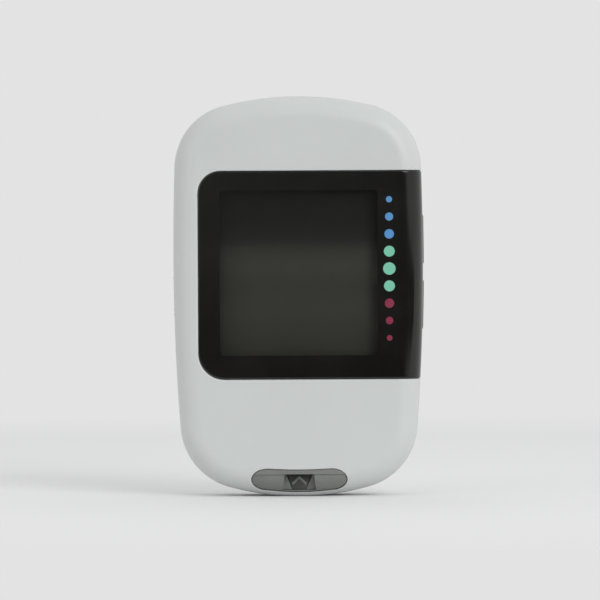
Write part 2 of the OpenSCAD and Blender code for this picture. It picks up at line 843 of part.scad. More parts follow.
module strip_guide() {
  color([0.22, 0.22, 0.21]) {
    intersection() {
      deep(slot_y, tongue_back) tongue_shape(0);
      rotate([90, 0, 90]) translate([0, 0, -far]) linear_extrude(2 * far) polygon([
        [tongue_back, 0], [slot_back - 0.05, 0], [slot_back - 0.05, tongue_z],
        [slot_back + 0.45, lip_z + 0.2], [slot_back + 0.45, port_top], [tongue_back, port_top]
      ]);
    }
    // arrow head that points into the slot
    deep(slot_back + 0.02, tongue_back) chevron();
  }
}

module chevron() {
  tip = lip_z - 0.35;
  polygon([
    [0, tip], [1.5, tip - 1.45], [1.15, tip - 1.75], [0, tip - 0.6], [-1.15, tip - 1.75], [-1.5, tip - 1.45]
  ]);
}

eject_z = connector_z + 9;
arm_h = 1.4;
arm_y = slot_back + 0.4;
arm_t = 1;
finger_z = connector_z + 0.5;
finger_top = eject_z - eject_travel - 0.4;
leg_gap = 0.08;

module strip_connector() {
  front = slot_front - 0.25;
  color([0.15, 0.15, 0.16])
  difference() {
    block([-connector_w / 2, front, connector_z], [connector_w / 2, board_y, connector_z + connector_l]);
    // slot of the strip
    block([-slot_w / 2, slot_front, 0], [slot_w / 2, slot_back, eject_z + arm_h + 0.2]);
    // way of the ejector's arm and pusher
    block([-connector_w, arm_y - 0.15, eject_z - eject_travel - 0.3],
      [pusher_w / 2 + 0.3, arm_y + arm_t + 0.15, eject_z + arm_h + 0.2]);
    block([-pusher_w / 2 - 0.3, slot_front, eject_z - eject_travel - 0.3],
      [pusher_w / 2 + 0.3, arm_y + arm_t, eject_z + arm_h + 0.2]);
    for (x = finger_places) {
      low = x - finger_w / 2 - leg_gap;
      high = x + finger_w / 2 + leg_gap;
      block([low, slot_y, finger_z - 0.1], [high, slot_back + finger_t + 0.25, finger_top + 0.1]);
      block([low, slot_y, finger_z - 0.1], [high, board_y + 1, finger_z + finger_t + 0.25]);
      block([low, board_y - finger_t - 0.1, 0], [high, board_y + 1, finger_z + finger_t + 0.25]);
    }
  }
}

finger_places = [for (i = [0:finger_count - 1]) (i - (finger_count - 1) / 2) * finger_pitch];

module strip_contacts() {
  color([0.85, 0.7, 0.35])
  for (x = finger_places) translate([x - finger_w / 2, 0, 0]) {
    block([0, slot_back + 0.05, finger_z], [finger_w, slot_back + 0.05 + finger_t, finger_top]);
    block([0, slot_back + 0.05, finger_z], [finger_w, board_y, finger_z + finger_t]);
    block([0, board_y - finger_t, finger_z - 1.7], [finger_w, board_y, finger_z + finger_t]);
  }
}

// ---- ejector ----

stem_z = cap_z + 1.2;
stem_top = cap_top - 1.2;
slide_x = 3.1 - half_w;
spring_x = slide_x + slide_t + 1;
spring_y = button_y;
spring_z = eject_z + 4;
spring_top = spring_z + 2.1 * eject_travel;

module strip_ejector() {
  low_y = button_y - slide_w / 2;
  color([0.45, 0.46, 0.46]) {
    difference() {
      block([-half_w - proud, button_y - cap_w / 2, cap_z],
        [track_depth - 0.1 - half_w, button_y + cap_w / 2, cap_top]);
      // grip grooves
      for (z = [1.5 * groove_pitch:groove_pitch:cap_l - 1.4 * groove_pitch]) block(
        [-far, -far, cap_z + z - groove_pitch / 4], [0.15 - half_w - proud, far, cap_z + z + groove_pitch / 4]
      );
    }
    block([track_depth - 0.2 - half_w, button_y - stem_w / 2, stem_z],
      [slide_x + slide_t, button_y + stem_w / 2, stem_top]);
    block([slide_x, low_y, eject_z], [slide_x + slide_t, button_y + slide_w / 2, stem_top]);
    // tab on the spring
    block([slide_x, spring_y - spring_r, spring_top],
      [spring_x + spring_r, spring_y + spring_r, spring_top + 1]);
    // arm and pusher
    block([slide_x + 0.3, arm_y, eject_z], [slide_x + slide_t, low_y + 0.2, eject_z + arm_h]);
    block([slide_x + 0.3, arm_y, eject_z], [pusher_w / 2, arm_y + arm_t, eject_z + arm_h]);
    block([-pusher_w / 2, slot_front + 0.05, eject_z], [pusher_w / 2, arm_y + arm_t, eject_z + arm_h]);
  }
}

module ejector_spring() {
  color([0.7, 0.7, 0.72]) translate([spring_x, spring_y, spring_z]) difference() {
    cylinder(r=spring_r, h=spring_top - spring_z, $fn=24);
    translate([0, 0, -1]) cylinder(r=spring_r - spring_t, h=body_h, $fn=24);
  }
}

// ---- side buttons ----

switch_end = half_w - 4.1;
plunger_end = switch_end + 0.6;

module button(z) {
  low_y = button_y - button_w / 2;
  high_y = button_y + button_w / 2;
  foot_x = plunger_end + 0.05;
  color([0.1, 0.1, 0.1]) {
    block([foot_x, low_y, z - button_l / 2], [half_w + proud, high_y, z + button_l / 2]);
    block([foot_x, low_y - flange_w, z - button_l / 2 - flange_w],
      [foot_x + flange_t, high_y + flange_w, z + button_l / 2 + flange_w]);
  }
}

module plunger(z) {
  color([0.85, 0.85, 0.82]) block(
    [switch_end - 0.4, button_y - plunger_w / 2, z - 0.8 * plunger_w],
    [plunger_end, button_y + plunger_w / 2, z + 0.8 * plunger_w]
  );
}

module switch(z) {
  gap = 0.1;
  color([0.7, 0.71, 0.72]) difference() {
    block([switch_end - switch_l, board_y - switch_t, z - switch_h / 2],
      [switch_end, board_y, z + switch_h / 2]);
    block([switch_end - 0.5 - button_travel, button_y - plunger_w / 2 - gap, z - 0.8 * plunger_w - gap],
      [far, button_y + plunger_w / 2 + gap, z + 0.8 * plunger_w + gap]);
  }
}

module up_button() { button(up_z); }
module down_button() { button(down_z); }
module up_plunger() { plunger(up_z); }
module down_plunger() { plunger(down_z); }
module up_switch() { switch(up_z); }
module down_switch() { switch(down_z); }

// ---- battery bay ----

hook_x = door_half_w - 4.5;

module cell(x) {
  color([0.72, 0.73, 0.74]) {
    bar_y(cell_r - 0.4, x, cell_z, cell_y, cell_y + 0.4);
    bar_y(cell_r, x, cell_z, cell_y + 0.3, cell_y + cell_t);
  }
}

module left_cell() { cell(-cell_x); }
module right_cell() { cell(cell_x); }

module negative_contacts() {
  color([0.8, 0.78, 0.7]) for (x = [-cell_x, cell_x]) translate([x, 0, cell_z]) {
    block([-leaf_w / 2, tub_floor_y, -leaf_l / 2], [leaf_w / 2, tub_floor_y + leaf_t, leaf_l / 2]);
    block([-leg_w / 2, board_back, -leg_t / 2], [leg_w / 2, tub_floor_y + leaf_t, leg_t / 2]);
  }
}

module positive_contacts() {
  low = cell_z + cell_r + 0.05;
  leg_z = tub_top - 0.35;
  clip_w = leaf_w - 1;
  color([0.8, 0.78, 0.7]) for (x = [-cell_x, cell_x]) translate([x, 0, 0]) {
    block([-clip_w / 2, cell_y, low], [clip_w / 2, cell_y + cell_t - 0.5, low + leaf_t + 0.1]);
    block([-leg_w / 2, cell_y, low], [leg_w / 2, cell_y + leaf_t, leg_z + leg_t / 2]);
    block([-leg_w / 2, board_back, leg_z - leg_t / 2], [leg_w / 2, cell_y + leaf_t, leg_z + leg_t / 2]);
  }
}

module battery_door() {
  inner = back_y - door_t;
  pad_r = 3;
  color([0.77, 0.78, 0.78]) {
    difference() {
      intersection() {
        difference() {
          back_form(0, part_y);
          back_form(door_t, part_y - 1);
        }
        deep(part_y, far) door_shape(0);
      }
      // finger notch
      translate([0, back_y + notch_r - 1, door_high - 1.2]) sphere(r=notch_r, $fn=round_n);
    }
    for (x = [-hook_x, hook_x]) {
      block([x - hook_w / 2, inner - 1.4, door_low - 1.7], [x + hook_w / 2, inner - 0.45, door_low + 1.2]);
      block([x - hook_w / 2, inner - 1.4, door_low + 0.1], [x + hook_w / 2, inner + 0.1, door_low + 1.2]);
    }
    // latch tab, and pads that hold the cells down
    block([-latch_w / 2, cell_y + 1.2, tub_top - 1.1], [latch_w / 2, inner + 0.1, tub_top - 0.5]);
    for (x = [-cell_x, cell_x]) bar_y(pad_r, x, cell_z, cell_y + cell_t + 0.1, inner + 0.1);
  }
}

// ---- fasteners and label ----

module housing_screws() {
  color([0.6, 0.61, 0.62])
  for (s = screw_spots) difference() {
    union() {
      bar_y(screw_r, s[0], s[1], screw_tip_y, screw_head_y);
      bar_y(screw_head_r, s[0], s[1], screw_head_y - screw_head_t, screw_head_y);
    }
    // cross recess
    for (w = [cross_w, 1.8], h = [cross_w, 1.8]) if (w != h) block(
      [s[0] - w / 2, screw_head_y - 0.5, s[1] - h / 2], [s[0] + w / 2, screw_head_y + 1, s[1] + h / 2]
    );
  }
}

module rating_label() {
  color([0.86, 0.87, 0.87]) deep(label_y, label_y + label_t) label_shape(0);
}

front_housing();
rear_housing();
display_window();
range_dots();
lcd_panel();
lcd_holder();
backlight();
zebra_strips();
circuit_board();
processor_chip();
radio_chip();
crystal();
small_parts();
usb_connector();
usb_tongue();
strip_port_insert();
strip_guide();
strip_connector();
strip_contacts();
strip_ejector();
ejector_spring();
up_button();
down_button();
up_plunger();
down_plunger();
up_switch();
down_switch();
left_cell();
right_cell();
negative_contacts();
positive_contacts();
battery_door();
housing_screws();
rating_label();
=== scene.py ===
import math

import bmesh
import bpy
import numpy as np
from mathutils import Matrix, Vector
from mathutils.geometry import delaunay_2d_cdt
from mathutils.kdtree import KDTree


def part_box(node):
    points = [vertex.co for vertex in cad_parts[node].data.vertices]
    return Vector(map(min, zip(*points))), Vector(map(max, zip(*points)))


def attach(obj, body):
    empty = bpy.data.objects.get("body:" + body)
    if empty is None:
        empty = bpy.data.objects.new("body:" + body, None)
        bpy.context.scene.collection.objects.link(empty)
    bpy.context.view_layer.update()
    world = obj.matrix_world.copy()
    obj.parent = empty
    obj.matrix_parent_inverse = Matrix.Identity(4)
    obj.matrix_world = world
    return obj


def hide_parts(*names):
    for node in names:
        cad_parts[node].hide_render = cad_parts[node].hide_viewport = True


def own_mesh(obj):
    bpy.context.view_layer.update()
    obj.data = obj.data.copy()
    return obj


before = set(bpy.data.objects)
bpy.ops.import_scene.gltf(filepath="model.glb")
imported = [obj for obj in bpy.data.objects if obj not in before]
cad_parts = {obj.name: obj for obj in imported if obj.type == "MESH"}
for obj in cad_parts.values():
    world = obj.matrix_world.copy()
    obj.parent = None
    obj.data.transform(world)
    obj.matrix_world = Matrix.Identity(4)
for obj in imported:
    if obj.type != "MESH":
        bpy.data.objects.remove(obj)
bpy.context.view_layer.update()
mm = 0.001  # shapes are worked out in millimetres
fineStep = 0.05  # between the points of a drawn outline
loopStep = 0.35  # between the points of an outline that goes into a mesh
edgeRow = 0.12  # width of the row of faces beside a rounded edge, and of the wear along it
edgeReach = 1.5  # distances from an outline are worked out up to here
print("frame loaded,", len(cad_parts), "nodes")


def cadBox(node):
    low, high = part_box(node)
    return np.array(low) / mm, np.array(high) / mm


rearHigh = cadBox("rear_housing")[1]
frontLow, frontHigh = cadBox("front_housing")

body = {
    "halfWidth": rearHigh[0],
    "height": rearHigh[2],
    "frontY": frontLow[1] + 0.012,  # the smooth face bulges a little between the solid's facets
    "backY": rearHigh[1],
    "frontEnd": frontHigh[1],  # the two housings' ends at the parting line
    "rearStart": 1.06,
    "wall": 1.5,
    "crown": 0.3,
    "footCut": 0.12,
    "widestZ": 45,
    "topEndR": 58,
    "topCornerR": 12.4,
    "topSideR": 570,
    "lowEndR": 50,
    "lowCornerR": 12.8,
    "lowSideR": 412,
    "frontRound": (4.2, 4.6),  # across the face, along the depth
    "backRound": (6.5, 5.2),
}


# The body's skin is laid out on a flat map of the face and the sides, and carried back to space from there.
def cornerMiddle(endR, cornerR, sideR, sideZ):
    dx, dz = body["halfWidth"] - sideR, sideZ - endR
    a, b = endR - cornerR, sideR - cornerR
    d = math.hypot(dx, dz)
    t = (a * a - b * b + d * d) / (2 * d)
    h = math.sqrt(max(0.0, a * a - t * t))
    return t * dx / d - h * dz / d, endR + t * dz / d + h * dx / d


def outlineArcs():
    half, cut, widest, height = body["halfWidth"], body["footCut"], body["widestZ"], body["height"]
    lowEnd = (0.0, body["lowEndR"] - cut)
    x, z = cornerMiddle(body["lowEndR"], body["lowCornerR"], body["lowSideR"], widest + cut)
    lowCorner = (x, z - cut)
    lowSide = (half - body["lowSideR"], widest)
    topEnd = (0.0, height - body["topEndR"])
    x, z = cornerMiddle(body["topEndR"], body["topCornerR"], body["topSideR"], height - widest)
    topCorner = (x, height - z)
    topSide = (half - body["topSideR"], widest)

    def heading(a, b):
        return math.atan2(b[1] - a[1], b[0] - a[0])

    turns = [
        -math.pi / 2, heading(lowEnd, lowCorner), heading(lowSide, lowCorner), 0.0,
        heading(topSide, topCorner), heading(topEnd, topCorner), math.pi / 2,
    ]
    middles = [lowEnd, lowCorner, lowSide, topSide, topCorner, topEnd]
    radii = [body[k] for k in ("lowEndR", "lowCornerR", "lowSideR", "topSideR", "topCornerR", "topEndR")]
    return [(*m, r, turns[i], turns[i + 1]) for i, (m, r) in enumerate(zip(middles, radii))]


arcs = outlineArcs()


def roundTable(width, depth):  # how far along the rounded edge each turn lies
    turn = np.linspace(0, math.pi / 2, 241)
    steps = np.hypot(np.diff(width * np.sin(turn)), np.diff(depth * (1 - np.cos(turn))))
    return width, depth, turn, np.concatenate([[0], np.cumsum(steps)])


rounds = {"front": roundTable(*body["frontRound"]), "back": roundTable(*body["backRound"])}


def nearestArc(points):
    x, z = np.abs(points[:, 0]), points[:, 1]
    inset, pick = np.full(len(points), 20.0), np.zeros(len(points), int)
    for i, (cx, cz, r, low, high) in enumerate(arcs):
        turn, here = np.arctan2(z - cz, x - cx), r - np.hypot(x - cx, z - cz)
        use = (turn >= low - 1e-7) & (turn <= high + 1e-7) & (here < inset)
        inset[use], pick[use] = here[use], i
    cx, cz, r = (np.array([arc[k] for arc in arcs])[pick] for k in range(3))
    away = np.maximum(np.hypot(x - cx, z - cz), 1e-9)
    return inset, cx, cz, r, (x - cx) / away, (z - cz) / away


def signs(values):
    return np.where(values < 0, -1.0, 1.0)


def onSkin(side, points, inset=0.0):  # map points to space, inset below the surface
    points = np.asarray(points, float)
    width, depth, turnAt, runAt = rounds[side]
    d, cx, cz, r, ux, uz = nearestArc(points)
    run = width - d
    turn = np.interp(run, runAt, turnAt)
    straight = np.maximum(run - runAt[-1], 0)
    flip, curved = signs(points[:, 0]), run > 0
    d = width * (1 - np.sin(turn))
    x = np.where(curved, (cx + (r - d) * ux) * flip, points[:, 0])
    z = np.where(curved, cz + (r - d) * uz, points[:, 1])
    y = depth * (1 - np.cos(turn)) + straight
    out, back = depth * np.sin(turn), width * np.cos(turn)
    size = np.hypot(out, back)
    out, back = out / size, back / size
    if side == "front":
        mid = body["height"] / 2
        y = body["frontY"] + y + body["crown"] * ((z - mid) / mid) ** 2 * np.cos(turn)
        tilt = 2 * body["crown"] * (z - mid) / mid ** 2 * np.cos(turn)
        normal = np.stack([ux * out * flip, -back, uz * out + tilt], 1)
    else:
        y = body["backY"] - y
        normal = np.stack([ux * out * flip, back, uz * out], 1)
    place = np.stack([x, y, z], 1) - normal * np.reshape(inset, (-1, 1))
    place[:, 2] = np.maximum(place[:, 2], 0)
    return place


def unroll(side, points):  # points seen from the front or back, to the map
    points = np.asarray(points, float)
    width, _, turnAt, runAt = rounds[side]
    d, cx, cz, r, ux, uz = nearestArc(points)
    turn = np.arcsin(np.clip(1 - d / width, 0, 1))
    d = np.where(d < width, width - np.interp(turn, turnAt, runAt), d)
    curved = d < width
    x = np.where(curved, (cx + (r - d) * ux) * signs(points[:, 0]), points[:, 0])
    return np.stack([x, np.where(curved, cz + (r - d) * uz, points[:, 1])], 1)


def mapInset(side, y):  # inset on the map of a depth on the side wall
    width, depth, turnAt, runAt = rounds[side]
    down = np.abs(np.asarray(y, float) - (body["frontY"] if side == "front" else body["backY"]))
    turn = np.arccos(np.clip(1 - down / depth, -1, 1))
    run = np.where(down < depth, np.interp(turn, turnAt, runAt), runAt[-1] + down - depth)
    return width - run, width * (1 - np.sin(np.where(down < depth, turn, math.pi / 2)))


def unrollSide(side, y, z, flip):  # points seen from the side, to the map
    y, z = np.asarray(y, float), np.asarray(z, float)
    d, real = mapInset(side, y)
    low = z < body["widestZ"]
    cx, cz, r = (np.where(low, arcs[2][k], arcs[3][k]) for k in range(3))
    turn = np.arcsin((z - cz) / (r - real))
    return np.stack([flip * (cx + (r - d) * np.cos(turn)), cz + (r - d) * np.sin(turn)], 1)


def unrollTop(side, x, y):  # points seen from above, to the map
    x, y = np.asarray(x, float), np.asarray(y, float)
    d, real = mapInset(side, y)
    cx, cz, r = arcs[5][:3]
    turn = np.arccos((x - cx) / (r - real))
    return np.stack([cx + (r - d) * np.cos(turn), cz + (r - d) * np.sin(turn)], 1)


def outlineLoop(inset, step=fineStep):
    half = []
    for cx, cz, r, low, high in arcs:
        n = max(2, int((high - low) * r / step))
        turn = np.linspace(low, high, n, endpoint=False)
        half.append(np.stack([cx + (r - inset) * np.cos(turn), cz + (r - inset) * np.sin(turn)], 1))
    half = np.concatenate(half + [[[0, body["height"] - inset]]])
    return np.concatenate([half, half[-2:0:-1] * [-1, 1]])


def arcPoints(cx, cz, rx, low, high, n=24, rz=None):
    turn = np.radians(np.linspace(low, high, n))
    return np.stack([cx + rx * np.cos(turn), cz + (rx if rz is None else rz) * np.sin(turn)], 1)


def roundedLoop(x0, z0, x1, z1, r):  # counterclockwise from the low left corner
    r = [r] * 4 if np.isscalar(r) else r
    return np.concatenate([
        arcPoints(x0 + r[0], z0 + r[0], r[0], 180, 270), arcPoints(x1 - r[1], z0 + r[1], r[1], 270, 360),
        arcPoints(x1 - r[2], z1 - r[2], r[2], 0, 90), arcPoints(x0 + r[3], z1 - r[3], r[3], 90, 180),
    ])


def runAlong(path):  # how far along a path each of its points lies
    return np.concatenate([[0], np.cumsum(np.hypot(*np.diff(path, axis=0).T))])


def pointsAt(path, run, at):
    return np.stack([np.interp(at, run, path[:, k]) for k in range(2)], 1)


def resample(path, step=loopStep, closed=True, count=None):  # even points, step apart or count of them
    path = np.asarray(path, float)
    if closed:
        path = np.concatenate([path, path[:1]])
    run = runAlong(path)
    n = count or max(8, int(round(run[-1] / step)))
    even = pointsAt(path, run, np.linspace(0, run[-1], n + 1))
    return even[:-1] if closed else even


def densify(path, step=fineStep):  # keeps the corners, so a bent map follows the line between them
    out = []
    for a, b in zip(path, np.roll(path, -1, axis=0)):
        n = max(1, int(np.hypot(*(b - a)) / step))
        out.append(a + (b - a) * np.arange(n)[:, None] / n)
    return np.concatenate(out)


def softJoin(paths, r):  # closes paths end to end, each meeting rounded by r
    trimmed = []
    for path in paths:
        run = runAlong(path)
        at = np.linspace(r, run[-1] - r, max(8, int(run[-1] / fineStep)))
        trimmed.append(pointsAt(path, run, at))
    out = []
    for i, path in enumerate(trimmed):
        corner = paths[i][-1]
        end, start = path[-1], trimmed[(i + 1) % len(paths)][0]
        t = np.linspace(0, 1, 9)[1:-1, None]
        out += [path, (1 - t) ** 2 * end + 2 * t * (1 - t) * corner + t ** 2 * start]
    return np.concatenate(out)


def offsetLoop(loop, away):  # a counterclockwise loop grown by away
    ahead, behind = np.roll(loop, -1, axis=0) - loop, loop - np.roll(loop, 1, axis=0)
    ahead /= np.maximum(np.hypot(*ahead.T), 1e-9)[:, None]
    behind /= np.maximum(np.hypot(*behind.T), 1e-9)[:, None]
    mean = ahead + behind
    mean /= np.maximum(np.hypot(*mean.T), 1e-9)[:, None]
    miter = 1 / np.clip((mean * ahead).sum(1), 0.6, 1)
    return loop + np.stack([mean[:, 1], -mean[:, 0]], 1) * (away * miter)[:, None]


def inside(points, loop):
    hits = np.zeros(len(points), bool)
    box = ((points >= loop.min(0)) & (points <= loop.max(0))).all(1)
    x, z = points[box, 0], points[box, 1]
    found = np.zeros(len(x), bool)
    for (x0, z0), (x1, z1) in zip(loop, np.roll(loop, -1, axis=0)):
        if z0 != z1:
            cross = (z0 > z) != (z1 > z)
            found ^= cross & (x < (x1 - x0) * (z - z0) / (z1 - z0) + x0)
    hits[box] = found
    return hits


def nearestOf(points, targets):  # distance and number of the nearest target
    tree = KDTree(len(targets))
    for i, (x, z) in enumerate(targets.tolist()):
        tree.insert((x, z, 0), i)
    tree.balance()
    found = [tree.find((x, z, 0)) for x, z in points.tolist()]
    return np.array([f[2] for f in found]), np.array([f[1] for f in found], int)


def awayFrom(points, loop, reach):  # signed distance outside a loop, exact up to reach
    loop = densify(loop, 0.3)
    best = np.full(len(points), float(reach))
    low, high = loop.min(0) - reach, loop.max(0) + reach
    near = np.nonzero(((points > low) & (points < high)).all(1))[0]
    if len(near):
        p, at = points[near], nearestOf(points[near], loop)[1]
        gaps = []
        for step in (-1, 1):
            a, b = loop[at], loop[(at + step) % len(loop)]
            along = np.clip(((p - a) * (b - a)).sum(1) / np.maximum(((b - a) ** 2).sum(1), 1e-12), 0, 1)
            gaps.append(np.hypot(*(a + along[:, None] * (b - a) - p).T))
        best[near] = np.minimum(np.minimum(*gaps), reach)
    return np.where(inside(points, loop), -best, best)


def roundedEdge(r):  # (distance from the loop, depth) over a rounded edge
    turn = np.radians([0, 25, 50, 75, 90])
    return [(r * (1 - math.sin(t)), r * (1 - math.cos(t))) for t in turn]


def edgeDrop(away, r):  # how deep that edge lies at a distance from its loop
    steps = sorted(roundedEdge(r))
    return np.interp(away, [s[0] for s in steps], [s[1] for s in steps])


def edgeBand(away, r):  # 1 on the edge, falling to 0 beside it, for the wear
    return np.exp(-((away - r / 2) / edgeRow) ** 2)


def pit(loop, down=None, floor=None, r=0.15, draft=0.03):  # down is under the skin, floor a place along Y
    return {"loop": loop, "down": down, "floor": floor, "r": r, "draft": draft}


def pitDepth(points, place, normal, pits):
    depth, edge = np.zeros(len(points)), np.zeros(len(points))
    for p in pits:
        if "sphereR" in p:
            d = np.minimum(np.hypot(*(points - p["middle"]).T), p["sphereR"])
            depth = np.maximum(depth, np.sqrt(p["sphereR"] ** 2 - d ** 2) - (p["sphereR"] - p["sink"]))
            continue
        away = awayFrom(points, p["loop"], edgeReach)
        down = p["down"] if p["floor"] is None else np.abs(place[:, 1] - p["floor"]) * np.abs(normal[:, 1])
        below = p["r"] + (down - p["r"]) * np.clip(-away / p["draft"], 0, 1)
        depth = np.maximum(depth, np.where(away > 0, edgeDrop(away, p["r"]), below))
        edge = np.maximum(edge, edgeBand(away, p["r"]))
    return depth, edge


def bowl(x, z, sphereR, sink):  # a round hollow, as if cut by a ball
    return {"loop": circleLoop(x, z, math.sqrt(sphereR ** 2 - (sphereR - sink) ** 2)), "middle": (x, z),
            "sphereR": sphereR, "sink": sink}


def surfaceFrame(side, points):
    if not isinstance(side, str):  # a flat sheet: (depth it stands at, -1 to face the front or 1 the back)
        flat = np.full(len(points), float(side[0]))
        return (np.stack([points[:, 0], flat, points[:, 1]], 1),
                np.tile([0.0, float(side[1]), 0.0], (len(points), 1)))
    place = onSkin(side, points)
    return place, (place - onSkin(side, points, 0.01)) / 0.01


def mapMesh(outer, holes, pits, marks, under, spacing, edgeR):
    # Triangles over the map, with rows of points along every edge.
    coords, edges = [], []

    def addLoop(loop):
        start, n = len(coords), len(loop)
        coords.extend(map(tuple, loop))
        edges.extend((start + i, start + (i + 1) % n) for i in range(n))

    for away in [s[0] for s in roundedEdge(edgeR)] + [edgeR + edgeRow]:
        addLoop(offsetLoop(outer, -away))
        for hole in holes:
            addLoop(offsetLoop(hole, away))
    for p in pits:
        if "sphereR" in p:
            addLoop(p["loop"])
            continue
        rows = [s[0] for s in roundedEdge(p["r"])] + [p["r"] + edgeRow, -p["draft"], -p["draft"] - edgeRow]
        for away in rows:
            addLoop(offsetLoop(p["loop"], away))
    for p in under:
        for away in (0, -p["draft"]):
            addLoop(offsetLoop(p["loop"], away))
    for mark in marks:
        addLoop(mark)

    fixed = np.array(coords)
    low, high = outer.min(0), outer.max(0)
    xs, zs = np.arange(low[0], high[0], spacing), np.arange(low[1], high[1], spacing * 0.866)
    grid = np.stack(np.meshgrid(xs, zs), 2)
    grid[1::2, :, 0] += spacing / 2
    grid = grid.reshape(-1, 2)
    grid = grid[inside(grid, outer)]
    grid = grid[nearestOf(grid, fixed)[0] > 0.4 * spacing]
    coords.extend(map(tuple, grid))
    points, _, faces = delaunay_2d_cdt([Vector(c) for c in coords], edges, [], 0, 1e-6)[:3]
    points, faces = np.array([tuple(p) for p in points]), np.array(faces)

    middle = points[faces].mean(1)
    keep = inside(middle, outer)
    for hole in holes:
        keep &= ~inside(middle, hole)
    faces, middle = faces[keep], middle[keep]
    used, back = np.unique(faces, return_inverse=True)
    return points[used], back.reshape(-1, 3), middle


def sheetOnSkin(side, outer, holes=(), pits=(), marks=(), thickness=1.5, under=(), spacing=0.6,
                edgeR=0.2, lift=0.0, plunge=None):
    # A closed sheet: one triangulation of the map, raised once for the outside and once for the inside.
    # plunge is (facing, below): under that height, and where the skin faces along Y by more than facing,
    # pits and walls run along Y instead of square to the skin.
    points, faces, middle = mapMesh(outer, holes, pits, marks, under, spacing, edgeR)
    place, normal = surfaceFrame(side, points)
    way = -normal
    if plunge:
        facing, below = plunge
        straight = np.clip((np.abs(normal[:, 1]) - facing) / 0.2, 0, 1) * np.clip(below - place[:, 2], 0, 1)
        along = np.zeros_like(way)
        along[:, 1] = -np.sign(normal[:, 1]) / np.maximum(np.abs(normal[:, 1]), 0.5)
        way = way + (along - way) * straight[:, None]

    top, edge = pitDepth(points, place, normal, pits)
    inner = -awayFrom(points, outer, edgeReach)
    for hole in holes:
        inner = np.minimum(inner, awayFrom(points, hole, edgeReach))
    top += edgeDrop(inner, edgeR) - lift
    edge = np.maximum(edge, edgeBand(inner, edgeR))
    bottom = np.maximum(thickness, pitDepth(points, place, normal, under)[0])
    bottom = np.maximum(bottom, top + min(0.5, thickness))

    verts = np.concatenate([place + way * top[:, None], place + way * bottom[:, None]])
    if isinstance(side, str):  # the foot is cut flat
        verts[:, 2] = np.maximum(verts[:, 2], 0)
    n = len(points)
    pairs = np.concatenate([faces[:, [0, 1]], faces[:, [1, 2]], faces[:, [2, 0]]])
    known = {(a, b) for a, b in pairs.tolist()}
    rimPairs = [(a, b) for a, b in known if (b, a) not in known]
    walls = [(b, a, a + n, b + n) for a, b in rimPairs]
    polys = [tuple(f) for f in faces.tolist()]
    polys += [(c + n, b + n, a + n) for a, b, c in faces.tolist()] + walls
    if side == "back" or (not isinstance(side, str) and side[1] > 0):
        polys = [p[::-1] for p in polys]
    rims = np.array([(points[a] + points[b]) / 2 for a, b in rimPairs])
    where = np.concatenate([middle, middle, rims])
    return {"verts": verts, "faces": polys, "edge": np.concatenate([edge, edge * 0]), "where": where}


def loft(rings, closed=False):
    n = len(rings[0])
    verts = np.concatenate(rings)
    faces = []
    last = len(rings) if closed else len(rings) - 1
    for k in range(last):
        a, b = k * n, (k + 1) % len(rings) * n
        faces += [(a + i, a + (i + 1) % n, b + (i + 1) % n, b + i) for i in range(n)]
    if not closed:
        faces += [tuple(range(n))[::-1], tuple(range(len(verts) - n, len(verts)))]
    return {"verts": verts, "faces": faces}


def spread(loop, t, plane):  # a flat loop placed at t along the third direction
    t = np.full(len(loop), float(t))
    return np.stack({"xz": (loop[:, 0], t, loop[:, 1]), "yz": (t, loop[:, 0], loop[:, 1]),
                     "xy": (loop[:, 0], loop[:, 1], t)}[plane], 1)


def stack(loop, levels, plane="xz"):  # levels are (inset, position)
    return loft([spread(offsetLoop(loop, -inset), t, plane) for inset, t in levels])


def slab(loop, t0, t1, plane="xz", r=0.12):
    turn = np.radians([0, 30, 60, 90])
    low = [(r * (1 - math.sin(a)), t0 + r * (1 - math.cos(a))) for a in turn]
    high = [(inset, t0 + t1 - t) for inset, t in low[::-1]]
    return stack(loop, low + high, plane)


def block(low, high, r=0.1):  # a box with rounded edges, its corners rounded along the thickness
    low, high = np.array(low, float), np.array(high, float)
    thin = int(np.argmin(high - low))
    plane = ("yz", "xz", "xy")[thin]
    u, v = [k for k in range(3) if k != thin]
    corner = min(0.25 * min(high[u] - low[u], high[v] - low[v]), r * 1.5)
    loop = roundedLoop(low[u], low[v], high[u], high[v], corner)[::4]
    return slab(dedupe(loop), low[thin], high[thin], plane, min(r, 0.45 * (high[thin] - low[thin])))


def dedupe(loop):
    far = np.hypot(*(loop - np.roll(loop, 1, axis=0)).T) > 1e-4
    return loop[far]


def lathe(profile, x, z, n=64, closed=False):  # profile is (radius, y), turned about a line along Y
    turn = np.linspace(0, 2 * math.pi, n, endpoint=False)
    return loft([np.stack([x + r * np.cos(turn), np.full(n, float(y)), z + r * np.sin(turn)], 1)
                 for r, y in profile], closed)


def tube(outerR, innerR, x, z, y0, y1, n=48):
    return lathe([(outerR, y0), (outerR, y1), (innerR, y1), (innerR, y0)], x, z, n, closed=True)


def circleLoop(x, z, r, n=48):
    return arcPoints(x, z, r, 0, 360, n + 1)[:-1]


def crossLoop(half, reach, x=0.0, z=0.0):  # a cross of two bars, half is half a bar's width
    return np.array([
        (-half, -reach), (half, -reach), (half, -half), (reach, -half), (reach, half), (half, half),
        (half, reach), (-half, reach), (-half, half), (-reach, half), (-reach, -half), (-half, -half),
    ]) + [x, z]


def addObject(name, data):
    thing = bpy.data.objects.new(name, data)
    bpy.context.scene.collection.objects.link(thing)
    return thing


def smoothMesh(mesh, angle=32):
    mesh.shade_smooth()
    mesh.set_sharp_from_angle(angle=math.radians(angle))


def placePiece(name, mesh, bodyName, replaces):
    piece = addObject(name, mesh)
    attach(piece, bodyName)
    if replaces:
        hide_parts(*replaces)
    print(f"{name}: {len(mesh.vertices)} vertices")
    return piece


